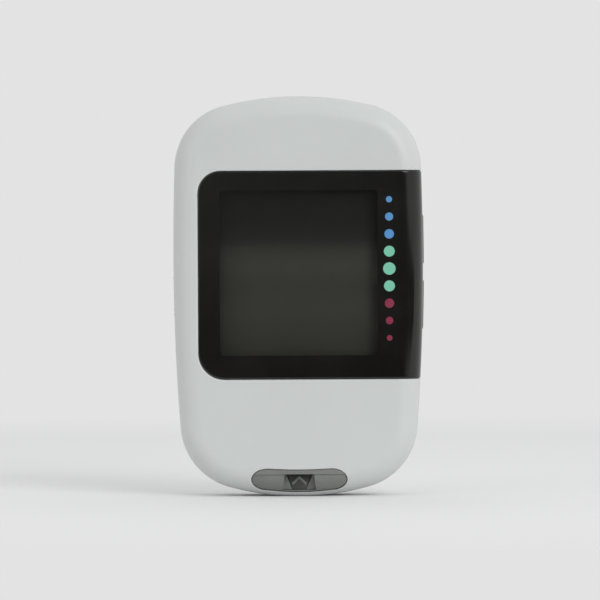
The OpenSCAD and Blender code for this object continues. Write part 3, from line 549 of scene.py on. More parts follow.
def makePiece(name, parts, materials, bodyName, replaces=()):
    # parts are dictionaries with verts and faces in millimetres, and a material number or a rule for one
    mesh = bpy.data.meshes.new(name)
    verts, faces, numbers, edge = [], [], [], []
    for part in parts:
        start = sum(len(v) for v in verts)
        pv, pf = np.asarray(part["verts"], float), part["faces"]
        if "edge" not in part:
            bm = bmesh.new()
            made = [bm.verts.new(v) for v in pv]
            for f in pf:
                bm.faces.new([made[i] for i in f])
            bmesh.ops.recalc_face_normals(bm, faces=bm.faces)
            bm.verts.index_update()
            pf = [tuple(v.index for v in f.verts) for f in bm.faces]
            bm.free()
        verts.append(pv)
        faces += [tuple(int(i) + start for i in f) for f in pf]
        edge.append(part.get("edge", np.zeros(len(pv))))
        rule = part.get("material", 0)
        numbers += list(rule(part["where"])) if callable(rule) else [rule] * len(pf)
    mesh.from_pydata((np.concatenate(verts) * mm).tolist(), [], faces)
    wear = mesh.attributes.new("edge", "FLOAT", "POINT")
    wear.data.foreach_set("value", np.concatenate(edge).astype(np.float32))
    for material in materials:
        mesh.materials.append(material)
    mesh.polygons.foreach_set("material_index", np.array(numbers, np.int32))
    smoothMesh(mesh)
    mesh.validate()
    return placePiece(name, mesh, bodyName, replaces)


# Shader groups that several finishes share. They put out masks and heights only.

def newGroup(name, inputs, outputs):  # every group takes a position, and values by name
    group = bpy.data.node_groups.new(name, "ShaderNodeTree")
    group.interface.new_socket("Position", in_out="INPUT", socket_type="NodeSocketVector")
    for socket, value in inputs.items():
        kind = "NodeSocketVector" if isinstance(value, tuple) else "NodeSocketFloat"
        group.interface.new_socket(socket, in_out="INPUT", socket_type=kind).default_value = value
    for socket in outputs:
        group.interface.new_socket(socket, in_out="OUTPUT", socket_type="NodeSocketFloat")
    return group, addNode(group, "NodeGroupInput").outputs, addNode(group, "NodeGroupOutput").inputs


def addNode(tree, kind, inputs=None, **settings):
    node = tree.nodes.new(kind)
    for key, value in settings.items():
        setattr(node, key, value)
    for key, value in (inputs or {}).items():
        if isinstance(value, bpy.types.NodeSocket):
            tree.links.new(value, node.inputs[key])
        else:
            node.inputs[key].default_value = value
    return node


def maths(tree, operation, a, b=0.0, clamp=False):
    return addNode(tree, "ShaderNodeMath", {0: a, 1: b}, operation=operation, use_clamp=clamp).outputs[0]


def times(tree, a, b, clamp=False):
    return maths(tree, "MULTIPLY", a, b, clamp)


def noise(tree, position, scale, detail, rough=0.5):
    return addNode(tree, "ShaderNodeTexNoise", {
        "Vector": position, "Scale": scale, "Detail": detail, "Roughness": rough,
    }).outputs[0]


def splitXYZ(tree, vector):
    return addNode(tree, "ShaderNodeSeparateXYZ", {0: vector}).outputs


def joinXYZ(tree, x=0.0, y=0.0, z=0.0):
    return addNode(tree, "ShaderNodeCombineXYZ", {0: x, 1: y, 2: z}).outputs[0]


def spreadOver(tree, value, low, high, toLow=0.0, toHigh=1.0):
    return addNode(tree, "ShaderNodeMapRange", {
        "Value": value, "From Min": low, "From Max": high, "To Min": toLow, "To Max": toHigh,
    }).outputs[0]


def grainGroup():  # moulded texture: fine grain, and slow patches for colour and gloss
    scales = {"Grain Scale": 5000.0, "Patch Scale": 60.0}
    group, source, sink = newGroup("mouldGrain", scales, ["Grain", "Patches"])
    fine = noise(group, source["Position"], source["Grain Scale"], 2.0, 0.6)
    slow = noise(group, source["Position"], source["Patch Scale"], 4.0)
    group.links.new(fine, sink["Grain"])
    group.links.new(spreadOver(group, slow, 0.3, 0.7), sink["Patches"])
    return group


def wearGroup():  # polished, slightly soiled edges, broken up by noise
    group, source, sink = newGroup("edgeWear", {"Edge": 0.0, "Amount": 0.5}, ["Wear"])
    broken = spreadOver(group, noise(group, source["Position"], 350.0, 4.0), 0.35, 0.65, 0.35, 1.0)
    worn = times(group, source["Edge"], broken)
    group.links.new(times(group, worn, source["Amount"], True), sink["Wear"])
    return group


def dustGroup():  # sparse specks and a thin film
    group, source, sink = newGroup("dust", {"Speck Scale": 900.0, "Amount": 0.3}, ["Dust"])
    cells = addNode(group, "ShaderNodeTexVoronoi", {
        "Vector": source["Position"], "Scale": source["Speck Scale"],
    }).outputs["Distance"]
    specks = spreadOver(group, cells, 0.1, 0.04)
    film = noise(group, source["Position"], 120.0, 5.0)
    mixed = times(group, specks, spreadOver(group, film, 0.5, 0.62))
    mixed = maths(group, "ADD", mixed, spreadOver(group, film, 0.45, 0.75, 0.0, 0.3), True)
    group.links.new(times(group, mixed, source["Amount"]), sink["Dust"])
    return group


def brushGroup():  # fine parallel lines left by rolling or drawing, along the stretched direction
    group, source, sink = newGroup("brushLines", {"Stretch": (40.0, 4000.0, 4000.0)}, ["Lines"])
    spot = addNode(group, "ShaderNodeVectorMath", {0: source["Position"], 1: source["Stretch"]},
                   operation="MULTIPLY").outputs[0]
    group.links.new(noise(group, spot, 1.0, 3.0), sink["Lines"])
    return group


groups = {"grain": grainGroup(), "wear": wearGroup(), "dust": dustGroup(), "brush": brushGroup()}


def mixColour(tree, factor, a, b):
    node = addNode(tree, "ShaderNodeMix", {0: factor, 6: a, 7: b}, data_type="RGBA")
    return node.outputs[2]


def shade(colour, by):
    return tuple(min(1.0, c * by) for c in colour[:3]) + (1.0,)


def startMaterial(name, grain, patch, settings):  # the material, what its nodes work with, and its grain
    material = bpy.data.materials.new(name)
    material.use_nodes = True
    tree = material.node_tree
    shader = tree.nodes["Principled BSDF"]
    for key, value in settings.items():
        shader.inputs[key].default_value = value
    position = addNode(tree, "ShaderNodeTexCoord").outputs["Object"]
    skin = useGroup(tree, "grain", Position=position, Grain_Scale=grain, Patch_Scale=patch)
    return material, tree, shader, position, skin


def useGroup(tree, key, **inputs):
    node = addNode(tree, "ShaderNodeGroup", node_tree=groups[key])
    for socket, value in inputs.items():
        socket = socket.replace("_", " ")
        if isinstance(value, bpy.types.NodeSocket):
            tree.links.new(value, node.inputs[socket])
        else:
            node.inputs[socket].default_value = value
    return node.outputs


def colourRamp(tree, value, stops, interpolation="LINEAR"):  # stops are (place, red, green, blue)
    ramp = addNode(tree, "ShaderNodeValToRGB", {0: value})
    ramp.color_ramp.interpolation = interpolation
    points = ramp.color_ramp.elements
    while len(points) < len(stops):
        points.new(0.5)
    for point, (at, *rgb) in zip(points, stops):
        point.position, point.color = at, (*rgb, 1)
    return ramp.outputs[0]


def finishSurface(tree, shader, colour, rough, height, depth):
    tree.links.new(colour, shader.inputs["Base Color"])
    tree.links.new(rough, shader.inputs["Roughness"])
    bump = addNode(tree, "ShaderNodeBump", {"Height": height, "Distance": depth, "Strength": 1.0})
    tree.links.new(bump.outputs[0], shader.inputs["Normal"])


def plastic(name, colour, rough=0.45, grain=5000.0, depth=0.000006, variation=0.03, wear=0.3, dust=0.15,
            settings=None):
    material, tree, shader, position, skin = startMaterial(name, grain, 70.0, settings or {})
    colour = tuple(colour) + (1.0,)
    edge = addNode(tree, "ShaderNodeAttribute", attribute_name="edge").outputs["Fac"]
    worn = useGroup(tree, "wear", Position=position, Edge=edge, Amount=wear)["Wear"]
    specks = useGroup(tree, "dust", Position=position, Amount=dust)["Dust"]
    base = mixColour(tree, skin["Patches"], shade(colour, 1 - variation), shade(colour, 1 + variation))
    base = mixColour(tree, times(tree, worn, 0.35), base, shade(colour, 1.25))
    base = mixColour(tree, times(tree, specks, 0.5), base, (0.5, 0.48, 0.44, 1.0))
    roughness = spreadOver(tree, skin["Patches"], 0, 1, rough - 0.03, rough + 0.03)
    roughness = maths(tree, "SUBTRACT", roughness, times(tree, worn, 0.12))
    roughness = maths(tree, "ADD", roughness, times(tree, specks, 0.2), True)
    finishSurface(tree, shader, base, roughness, skin["Grain"], depth)
    return material


def metal(name, colour, rough=0.25, stretch=(60.0, 5000.0, 5000.0), depth=0.000002):
    material, tree, shader, position, skin = startMaterial(name, 2500.0, 150.0, {"Metallic": 1.0})
    colour = tuple(colour) + (1.0,)
    lines = useGroup(tree, "brush", Position=position, Stretch=stretch)["Lines"]
    edge = addNode(tree, "ShaderNodeAttribute", attribute_name="edge").outputs["Fac"]
    worn = useGroup(tree, "wear", Position=position, Edge=edge, Amount=0.5)["Wear"]
    base = mixColour(tree, skin["Patches"], shade(colour, 0.88), shade(colour, 1.04))
    base = mixColour(tree, worn, base, shade(colour, 1.15))
    roughness = spreadOver(tree, lines, 0.3, 0.7, rough - 0.06, rough + 0.1)
    roughness = maths(tree, "ADD", roughness, spreadOver(tree, skin["Patches"], 0, 1, 0.04, -0.04))
    finishSurface(tree, shader, base, roughness, lines, depth)
    return material


print("shader groups ready")

# Housing plastic: a pale cool grey with a fine satin texture.
housingGrey = plastic("housingGrey", (0.598, 0.622, 0.612), rough=0.42, grain=5200.0, depth=0.000007,
                      variation=0.012, wear=0.35, dust=0.12)
rearGrey = plastic("rearGrey", (0.582, 0.604, 0.594), rough=0.5, grain=4200.0, depth=0.000012,
                   variation=0.015, wear=0.4, dust=0.2)
portGrey = plastic("portGrey", (0.175, 0.182, 0.174), rough=0.34, grain=4000.0, depth=0.000005,
                   variation=0.06, wear=0.5, dust=0.35, settings={"Coat Weight": 0.25, "Coat Roughness": 0.2})
glossBlack = plastic("glossBlack", (0.0065, 0.0062, 0.0056), rough=0.09, grain=900.0, depth=0.0000004,
                     variation=0.2, wear=0.5, dust=0.05, settings={"IOR": 1.49})
buttonBlack = plastic("buttonBlack", (0.012, 0.012, 0.012), rough=0.28, grain=4800.0, depth=0.000004,
                      variation=0.1, wear=0.7, dust=0.2)
ejectorGrey = plastic("ejectorGrey", (0.155, 0.16, 0.16), rough=0.46, grain=4800.0, depth=0.000008,
                      variation=0.05, wear=0.7, dust=0.25)
guideDark = plastic("guideDark", (0.045, 0.047, 0.043), rough=0.42, grain=4200.0, depth=0.000006,
                    variation=0.08, wear=0.3, dust=0.3)
guideMark = plastic("guideMark", (0.19, 0.2, 0.185), rough=0.4, grain=4200.0, depth=0.000004,
                    variation=0.05, wear=0.2, dust=0.1)


def clearPane():  # the window over the display, with no print on its back
    settings = {"Transmission Weight": 1.0, "IOR": 1.33}
    material, tree, shader, _, skin = startMaterial("clearPane", 900.0, 90.0, settings)
    tint = mixColour(tree, skin["Patches"], (0.80, 0.80, 0.79, 1), (0.83, 0.83, 0.815, 1))
    tree.links.new(tint, shader.inputs["Base Color"])
    tree.links.new(spreadOver(tree, skin["Patches"], 0, 1, 0.02, 0.05), shader.inputs["Roughness"])
    see = addNode(tree, "ShaderNodeBsdfTransparent", {"Color": (0.83, 0.83, 0.82, 1)})
    shadow = addNode(tree, "ShaderNodeLightPath").outputs["Is Shadow Ray"]
    mix = addNode(tree, "ShaderNodeMixShader", {0: shadow, 1: shader.outputs[0], 2: see.outputs[0]})
    tree.links.new(mix.outputs[0], tree.nodes["Material Output"].inputs["Surface"])
    return material


def displayDark():  # the switched-off display: dark olive grey, with painted reflection as paler bands across its middle, near black towards the top and soft paler blotches, and painted shade towards its left edge
    settings = {"Specular IOR Level": 0.1}
    material, tree, shader, position, skin = startMaterial("displayDark", 7000.0, 35.0, settings)
    across, _, height = splitXYZ(tree, position)
    stops = [(0.0, 0.044, 0.045, 0.038), (0.15, 0.050, 0.051, 0.044), (0.30, 0.058, 0.059, 0.051),
             (0.42, 0.050, 0.051, 0.044), (0.54, 0.061, 0.062, 0.054), (0.62, 0.048, 0.049, 0.042),
             (0.70, 0.018, 0.0185, 0.016), (0.80, 0.009, 0.0095, 0.008), (1.0, 0.006, 0.0065, 0.0055)]
    # painted reflection: paler bands across the middle of the display, near black towards its top
    reflectionBands = colourRamp(tree, spreadOver(tree, height, 0.0265, 0.0595), stops)
    # painted shade: darker towards the display's left edge
    leftEdgeShade = times(tree, spreadOver(tree, across, -0.008, -0.016), 0.28)
    base = mixColour(tree, leftEdgeShade, reflectionBands, (0.012, 0.012, 0.011, 1))
    # painted reflection: soft paler blotches from the slow patches
    base = mixColour(tree, times(tree, skin["Patches"], 0.10), base, (0.05, 0.05, 0.046, 1))
    rough = spreadOver(tree, skin["Patches"], 0, 1, 0.36, 0.46)
    finishSurface(tree, shader, base, rough, skin["Grain"], 0.0000004)
    return material


def dotPrint():  # three zones of printed colour, by height
    settings = {"Coat Weight": 0.4, "Coat Roughness": 0.1}
    material, tree, shader, position, skin = startMaterial("dotPrint", 9000.0, 400.0, settings)
    height = splitXYZ(tree, position)[2]
    low, high = cadBox("range_dots")
    stops = [(0.0, 0.232, 0.010, 0.048), (0.328, 0.185, 0.555, 0.395), (0.672, 0.082, 0.275, 0.580)]
    zone = colourRamp(tree, spreadOver(tree, height, low[2] * mm, high[2] * mm), stops, "CONSTANT")
    pale = mixColour(tree, times(tree, skin["Patches"], 0.05), zone, (0.45, 0.5, 0.5, 1))
    rough = spreadOver(tree, skin["Grain"], 0, 1, 0.3, 0.42)
    finishSurface(tree, shader, pale, rough, skin["Grain"], 0.000001)
    return material


paneClear, lcdDark, dotColours = clearPane(), displayDark(), dotPrint()

whitePlastic = plastic("whitePlastic", (0.78, 0.78, 0.74), rough=0.4, grain=4000.0, depth=0.000006,
                       variation=0.02, wear=0.1, dust=0.1)
lightGuide = plastic("lightGuide", (0.72, 0.74, 0.72), rough=0.22, grain=1500.0, depth=0.000002,
                     variation=0.02, wear=0.0, dust=0.05,
                     settings={"Coat Weight": 0.5, "Coat Roughness": 0.1})
chipResin = plastic("chipResin", (0.016, 0.016, 0.018), rough=0.6, grain=6000.0, depth=0.000008,
                    variation=0.1, wear=0.2, dust=0.1)
socketBlack = plastic("socketBlack", (0.02, 0.02, 0.02), rough=0.4, grain=5000.0, depth=0.000004,
                      variation=0.1, wear=0.2, dust=0.2)
screwSteel = metal("screwSteel", (0.42, 0.42, 0.43), rough=0.34, stretch=(900.0, 900.0, 900.0))
cellNickel = metal("cellNickel", (0.62, 0.61, 0.59), rough=0.24, stretch=(80.0, 4000.0, 4000.0),
                   depth=0.0000012)
tinPlate = metal("tinPlate", (0.60, 0.60, 0.58), rough=0.3, stretch=(4000.0, 4000.0, 120.0))
springWire = metal("springWire", (0.50, 0.50, 0.50), rough=0.22, stretch=(3000.0, 3000.0, 600.0))
goldFlash = metal("goldFlash", (0.80, 0.56, 0.22), rough=0.24, stretch=(4000.0, 200.0, 4000.0))


def boardGreen():  # solder mask over copper tracks
    settings = {"Coat Weight": 0.4, "Coat Roughness": 0.15}
    material, tree, shader, position, skin = startMaterial("boardGreen", 6000.0, 90.0, settings)
    cells = addNode(tree, "ShaderNodeTexVoronoi", {"Vector": position, "Scale": 420.0},
                    distance="CHEBYCHEV", feature="F1")
    tracks = spreadOver(tree, cells.outputs["Distance"], 0.42, 0.5)
    base = mixColour(tree, skin["Patches"], (0.008, 0.075, 0.035, 1), (0.011, 0.095, 0.045, 1))
    base = mixColour(tree, tracks, base, (0.03, 0.16, 0.07, 1))
    finishSurface(tree, shader, base, spreadOver(tree, skin["Grain"], 0, 1, 0.32, 0.42), tracks, 0.00002)
    return material


def layeredRubber():  # dark and pale layers, stacked across the strip
    settings = {"Specular IOR Level": 0.3}
    material, tree, shader, position, skin = startMaterial("layeredRubber", 4000.0, 120.0, settings)
    across = splitXYZ(tree, position)[0]
    layer = maths(tree, "SINE", times(tree, across, 12000.0))
    layer = spreadOver(tree, layer, -0.3, 0.3)
    base = mixColour(tree, layer, (0.02, 0.02, 0.022, 1), (0.20, 0.18, 0.17, 1))
    rough = spreadOver(tree, skin["Patches"], 0, 1, 0.6, 0.75)
    finishSurface(tree, shader, base, rough, skin["Grain"], 0.000006)
    return material


def blankLabel():  # satin film with a thin printed frame and nothing in it
    material, tree, shader, position, skin = startMaterial("blankLabel", 7000.0, 80.0, {"Sheen Weight": 0.05})
    low, high = (np.array(c) * mm for c in cadBox("rating_label"))
    lines = useGroup(tree, "brush", Position=position, Stretch=(150.0, 7000.0, 7000.0))["Lines"]
    x, _, z = splitXYZ(tree, position)
    middle, half = (low + high) / 2, (high - low) / 2

    def distance(a, b):
        return maths(tree, "ABSOLUTE", maths(tree, "SUBTRACT", a, b))

    reach = [maths(tree, "SUBTRACT", half[k], distance(value, middle[k])) for k, value in ((0, x), (2, z))]
    off = distance(maths(tree, "MINIMUM", *reach), 0.0011)  # the frame stands 1.1 mm inside the edge
    frameLine = spreadOver(tree, off, 0.00009, 0.00006)
    base = mixColour(tree, skin["Patches"], (0.66, 0.67, 0.67, 1), (0.70, 0.71, 0.71, 1))
    base = mixColour(tree, times(tree, frameLine, 0.7), base, (0.12, 0.12, 0.13, 1))
    finishSurface(tree, shader, base, spreadOver(tree, lines, 0.3, 0.7, 0.3, 0.42), skin["Grain"], 0.000003)
    return material


greenBoard, zebraRubber, labelFilm = boardGreen(), layeredRubber(), blankLabel()
print("finishes ready")

# Solids of the frame that stay as they are get their finish here.
plainNodes = {
    "lcd_holder": whitePlastic, "backlight": lightGuide, "zebra_strips": zebraRubber,
    "circuit_board": greenBoard, "processor_chip": chipResin, "radio_chip": chipResin,
    "crystal": tinPlate, "small_parts": tinPlate, "strip_connector": socketBlack, "strip_contacts": goldFlash,
    "up_plunger": whitePlastic, "down_plunger": whitePlastic, "up_switch": tinPlate, "down_switch": tinPlate,
    "negative_contacts": tinPlate, "positive_contacts": tinPlate,
}
for node, finish in plainNodes.items():
    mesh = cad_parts[node].data
    mesh.materials.clear()
    mesh.materials.append(finish)

# Pieces made by Geometry Nodes: inputs by name, instances made real, then their finish.

def newNodes(name, inputs):  # inputs are numbers by name, or None for an object
    tree = bpy.data.node_groups.new(name, "GeometryNodeTree")
    tree.interface.new_socket("Geometry", in_out="INPUT", socket_type="NodeSocketGeometry")
    for socket, value in inputs.items():
        kind = "Object" if value is None else "Int" if isinstance(value, int) else "Float"
        made = tree.interface.new_socket(socket, in_out="INPUT", socket_type="NodeSocket" + kind)
        if value is not None:
            made.default_value = value
    tree.interface.new_socket("Finish", in_out="INPUT", socket_type="NodeSocketMaterial")
    tree.interface.new_socket("Geometry", in_out="OUTPUT", socket_type="NodeSocketGeometry")
    return tree, addNode(tree, "NodeGroupInput").outputs, addNode(tree, "NodeGroupOutput")


def placeOn(tree, points, instance, **more):
    inputs = {"Points": points, "Instance": instance, **more}
    return addNode(tree, "GeometryNodeInstanceOnPoints", inputs).outputs[0]


def sweptCircle(tree, curve, sides, radius):
    section = addNode(tree, "GeometryNodeCurvePrimitiveCircle", {"Resolution": sides, "Radius": radius},
                      mode="RADIUS").outputs[0]
    return addNode(tree, "GeometryNodeCurveToMesh", {
        "Curve": curve, "Profile Curve": section, "Fill Caps": True,
    }).outputs[0]


def closeNodes(tree, sink, geometry, finish):
    real = addNode(tree, "GeometryNodeRealizeInstances", {"Geometry": geometry}).outputs[0]
    done = addNode(tree, "GeometryNodeSetMaterial", {"Geometry": real, "Material": finish}).outputs[0]
    tree.links.new(done, sink.inputs[0])


def finishNodes(name, mesh, tree, values, bodyName, replaces=(), sharpAt=32):
    seat = addObject(name + "Seat", mesh)
    modifier = seat.modifiers.new("shape", "NODES")
    modifier.node_group = tree
    for socket in tree.interface.items_tree:
        if socket.in_out == "INPUT" and socket.name in values:
            modifier[socket.identifier] = values[socket.name]
    evaluated = seat.evaluated_get(bpy.context.evaluated_depsgraph_get())
    made = bpy.data.meshes.new_from_object(evaluated)
    bpy.data.objects.remove(seat)
    bm = bmesh.new()
    bm.from_mesh(made)
    bmesh.ops.remove_doubles(bm, verts=bm.verts, dist=1e-7)
    bmesh.ops.recalc_face_normals(bm, faces=bm.faces)
    bm.to_mesh(made)
    bm.free()
    made.name = name
    smoothMesh(made, sharpAt)
    return placePiece(name, made, bodyName, replaces)


# The front housing: one sheet with the window's pocket, the port, the ejector's track and the holes.
windowLow, windowHigh = cadBox("display_window")
socketLow, socketHigh = cadBox("usb_connector")
keyZ = {key: sum(corner[2] for corner in cadBox(key + "_button")) / 2 for key in ("up", "down")}

window = {
    "x": windowLow[0], "z": (windowLow[2], windowHigh[2]), "endY": windowHigh[1],
    "pastEndY": 4.0,  # beyond the parting line, for what goes through it
    "thickness": 1.2, "gap": 0.1, "lowR": 5.0, "topR": 4.3, "silhouetteR": 0.45, "edgeR": 0.22,
    "view": (-15.1, 27.1, 15.3, 58.9), "viewR": 0.4, "hole": 0.3, "mask": 0.6,  # clear part; the others grow it
    "ledge": 1.1, "rim": 1.6,
}
sideRow = {
    "y": -1.4, "keyW": 3.2, "keyL": 9.6, "keyR": 0.7, "keyDepth": 3.3, "gap": 0.15,
    "flange": 0.5, "footT": 0.55, "proud": -cadBox("strip_ejector")[0][0] - body["halfWidth"],
}
port = {"width": 18.3, "low": 0.9, "top": 5.3, "endW": 3.0, "sag": 0.2, "gap": 0.1, "straightTo": 7.0}
track = {
    "halfW": 2.05, "z": (28.2, 44.0), "depth": 0.8, "r": 1.1,
    "slotHalfW": 0.9, "slotZ": (29.4, 42.8), "slotR": 0.6,
}
socketRoom = {"side": 0.3, "r": 0.8}
boss = {"outerR": 2.2, "boreR": 0.93, "start": 0.9, "end": 0.4}
screwRows = ((body["halfWidth"] - 12.6, 9.2), (body["halfWidth"] - 14.1, body["height"] - 9.9))
screwSpots = [(x * side, z) for x, z in screwRows for side in (-1, 1)]


def acrossFace(z, x0, endY):  # a level line from x0 over the rounded edge and down the right side
    face = body["frontY"]
    start = face + 0.0005 * np.arange(10) ** 2  # close together where the rounding starts
    y = np.concatenate([start, np.arange(face + fineStep, endY, fineStep), [endY]])
    edge = unrollSide("front", y, np.full(len(y), z), 1)
    flat = np.arange(x0, edge[0, 0] - 0.02, fineStep)
    return np.concatenate([np.stack([flat, np.full(len(flat), z)], 1), edge])


def windowLoop(grow, endY, cornerR):
    x, (z0, z1) = window["x"] - grow, window["z"]
    z0, z1, lowR, topR = z0 - grow, z1 + grow, window["lowR"] + grow, window["topR"] + grow
    low, top = acrossFace(z0, x + lowR, endY), acrossFace(z1, x + topR, endY)[::-1]
    zs = np.arange(z0, z1, fineStep)
    right = np.concatenate([low[-1:], unrollSide("front", np.full(len(zs), endY), zs, 1)[1:], top[:1]])
    left = np.concatenate([arcPoints(x + topR, z1 - topR, topR, 90, 180),
                           arcPoints(x + lowR, z0 + lowR, lowR, 180, 270)])
    left = resample(left, fineStep, closed=False)
    return resample(softJoin([low, right, top, left], cornerR), loopStep)


def sideLoop(y0, y1, z0, z1, r, flip):  # a rounded rectangle on the right side, or the left with flip -1
    flat = densify(roundedLoop(y0, z0, y1, z1, r))
    loop = resample(unrollSide("front", flat[:, 0], flat[:, 1], flip), loopStep)
    return loop if flip > 0 else loop[::-1]


def portLoop(grow):
    reach, cz = port["width"] / 2 - port["endW"], arcs[0][1]
    lowR = cz - port["low"]
    lowZ = cz - math.sqrt(lowR ** 2 - reach ** 2)
    midZ, endH, endW = (port["top"] + lowZ) / 2, (port["top"] - lowZ) / 2 + grow, port["endW"] + grow
    xs = np.linspace(-reach, reach, 80)[1:-1]
    loop = np.concatenate([
        np.stack([xs, cz - np.sqrt(lowR ** 2 - xs ** 2) - grow], 1),
        arcPoints(reach, midZ, endW, -90, 90, 60, endH),
        np.stack([xs[::-1], port["top"] + grow - port["sag"] * (1 - (xs[::-1] / reach) ** 2)], 1),
        arcPoints(-reach, midZ, endW, 90, 270, 60, endH),
    ])
    return resample(unroll("front", loop), 0.25)


def keyLoop(z, grow):
    y, w, length = sideRow["y"], sideRow["keyW"] / 2 + grow, sideRow["keyL"] / 2 + grow
    return sideLoop(y - w, y + w, z - length, z + length, sideRow["keyR"] + grow, 1)


def viewLoop(grow):
    x0, z0, x1, z1 = window["view"]
    loop = roundedLoop(x0 - grow, z0 - grow, x1 + grow, z1 + grow, window["viewR"] + grow)
    return resample(densify(loop), 0.6)


def frontHousing():
    gap, y, room = window["gap"], sideRow["y"], socketRoom["side"]
    down, past = window["thickness"] + gap, window["pastEndY"]
    trackLoop = sideLoop(y - track["halfW"], y + track["halfW"], *track["z"], track["r"], -1)
    slotLoop = sideLoop(y - track["slotHalfW"], y + track["slotHalfW"], *track["slotZ"], track["slotR"], -1)
    (x0, y0), (x1, y1) = socketLow[:2] - room, socketHigh[:2] + [room, 0]
    socket = densify(roundedLoop(x0, y0, x1, y1, socketRoom["r"]))
    socketLoop = resample(unrollTop("front", socket[:, 0], socket[:, 1]), loopStep)
    outer = resample(outlineLoop(mapInset("front", body["frontEnd"])[0]), loopStep)
    keyHoles = [keyLoop(z, sideRow["gap"]) for z in keyZ.values()]
    shell = sheetOnSkin(
        "front", outer,
        holes=[viewLoop(window["hole"]), portLoop(port["gap"]), socketLoop, slotLoop] + keyHoles,
        pits=[pit(windowLoop(gap, past, 0.1), down=down, r=window["edgeR"]),
              pit(trackLoop, down=track["depth"], r=0.25, draft=0.08)],
        under=[pit(windowLoop(window["rim"], past, 0.3), down=down + window["ledge"], r=0.01)],
        thickness=body["wall"], edgeR=0.14, spacing=0.62, plunge=(0.3, port["straightTo"]),
    )

    def material(where):  # dark round the display, grey elsewhere
        return np.where(inside(where, viewLoop(window["mask"])), 1, 0)

    shell["material"] = material
    bosses = [tube(boss["outerR"], boss["boreR"], x, z, body["frontY"] + boss["start"], boss["end"])
              for x, z in screwSpots]
    return makePiece("frontHousing", [shell] + bosses, [housingGrey, socketBlack], "root",
                     ["front_housing"])


def displayWindow():
    sheet = sheetOnSkin(
        "front", windowLoop(0, window["endY"], window["silhouetteR"]),
        holes=[keyLoop(z, sideRow["gap"]) for z in keyZ.values()], marks=[viewLoop(0)],
        thickness=window["thickness"], edgeR=window["edgeR"], spacing=0.55,
    )

    def material(where):  # clear over the display, black all round
        return np.where(inside(where, viewLoop(0)), 1, 0)

    sheet["material"] = material
    return makePiece("displayWindow", [sheet], [glossBlack, paneClear], "root",
                     ["display_window"])


dots = {"radii": [0.6, 0.78, 0.91, 1.05, 1.2, 1.05, 0.9, 0.72, 0.54], "pitch": 3.33, "proud": 0.012}


def rangeDots():  # Geometry Nodes put a thin printed disc on every point, scaled by its radius
    low, high = cadBox("range_dots")
    radii, x = dots["radii"], (low[0] + high[0]) / 2
    middleZ = (low[2] + radii[-1] + high[2] - radii[0]) / 2
    zs = [middleZ + ((len(radii) - 1) / 2 - i) * dots["pitch"] for i in range(len(radii))]
    seats = onSkin("front", [(x, z) for z in zs], -dots["proud"] / 2)
    mesh = bpy.data.meshes.new("dotSeats")
    mesh.from_pydata((seats * mm).tolist(), [], [])
    mesh.attributes.new("radius", "FLOAT", "POINT").data.foreach_set("value", np.array(radii) * mm)
    tree, source, sink = newNodes("printedDots", {"Sides": 48, "Thickness": dots["proud"] * mm})
    disc = addNode(tree, "GeometryNodeMeshCylinder", {
        "Vertices": source["Sides"], "Radius": 1.0, "Depth": source["Thickness"],
    }).outputs[0]
    radius = addNode(tree, "GeometryNodeInputNamedAttribute", {"Name": "radius"}, data_type="FLOAT")
    scale = joinXYZ(tree, radius.outputs[0], radius.outputs[0], 1.0)
    placed = placeOn(tree, source["Geometry"], disc, Rotation=(math.pi / 2, 0, 0), Scale=scale)
    closeNodes(tree, sink, placed, source["Finish"])
    return finishNodes("rangeDots", mesh, tree, {"Finish": dotColours}, "root", ["range_dots"])


def lcdPanel():  # glass with a polariser film a little smaller than it
    low, high = cadBox("lcd_panel")
    filmT, margin = 0.15, 0.3
    film = roundedLoop(low[0] + margin, low[2] + margin, high[0] - margin, high[2] - margin, 0.3)
    parts = [block((low[0], low[1] + filmT, low[2]), high, 0.12),
             slab(film, low[1], low[1] + filmT + 0.05, r=0.04)]
    return makePiece("lcdPanel", parts, [lcdDark], "root", ["lcd_panel"])


# The strip port: an insert that follows the skin, with a level band over a sunk face and an open mouth.
guide = {
    "slotY": -5.0, "lip": 4.3, "sink": 0.28, "mouthTop": 2.8, "mouthLow": 3.2, "mouthZ": 1.25,
    "tongueTop": 2.5, "tongueLow": 1.35, "tongueZ": 1.3, "tongueEnd": 5.1, "tongueBack": -3.9,
    "slope": (-0.05, 0.45),  # the tongue's foot and its top, from the slot
    "chevronZ": 3.95, "chevronHalf": 1.5, "chevronT": 0.8,
}
insert = {  # behind its face: a back plate, a cheek on either side of the mouth, and a sleeve for the strip
    "sunkTo": (12.0, -3.0), "faceT": 1.0, "plate": (-8.6, 1.3, 8.6, 5.0), "plateR": 1.8, "plateT": 1.6,
    "cheek": [(3.19, 1.35), (7.9, 1.7), (8.4, 3.0), (7.6, 4.9), (2.82, 4.9), (2.82, 4.3)],
    "cheekY": (-5.75, -4.98), "sleeveX": (2.82, 4.4), "sleeveZ": (5.0, 8.3), "sleeveBack": -3.4,
    "coverY": (-5.8, -5.6),
}


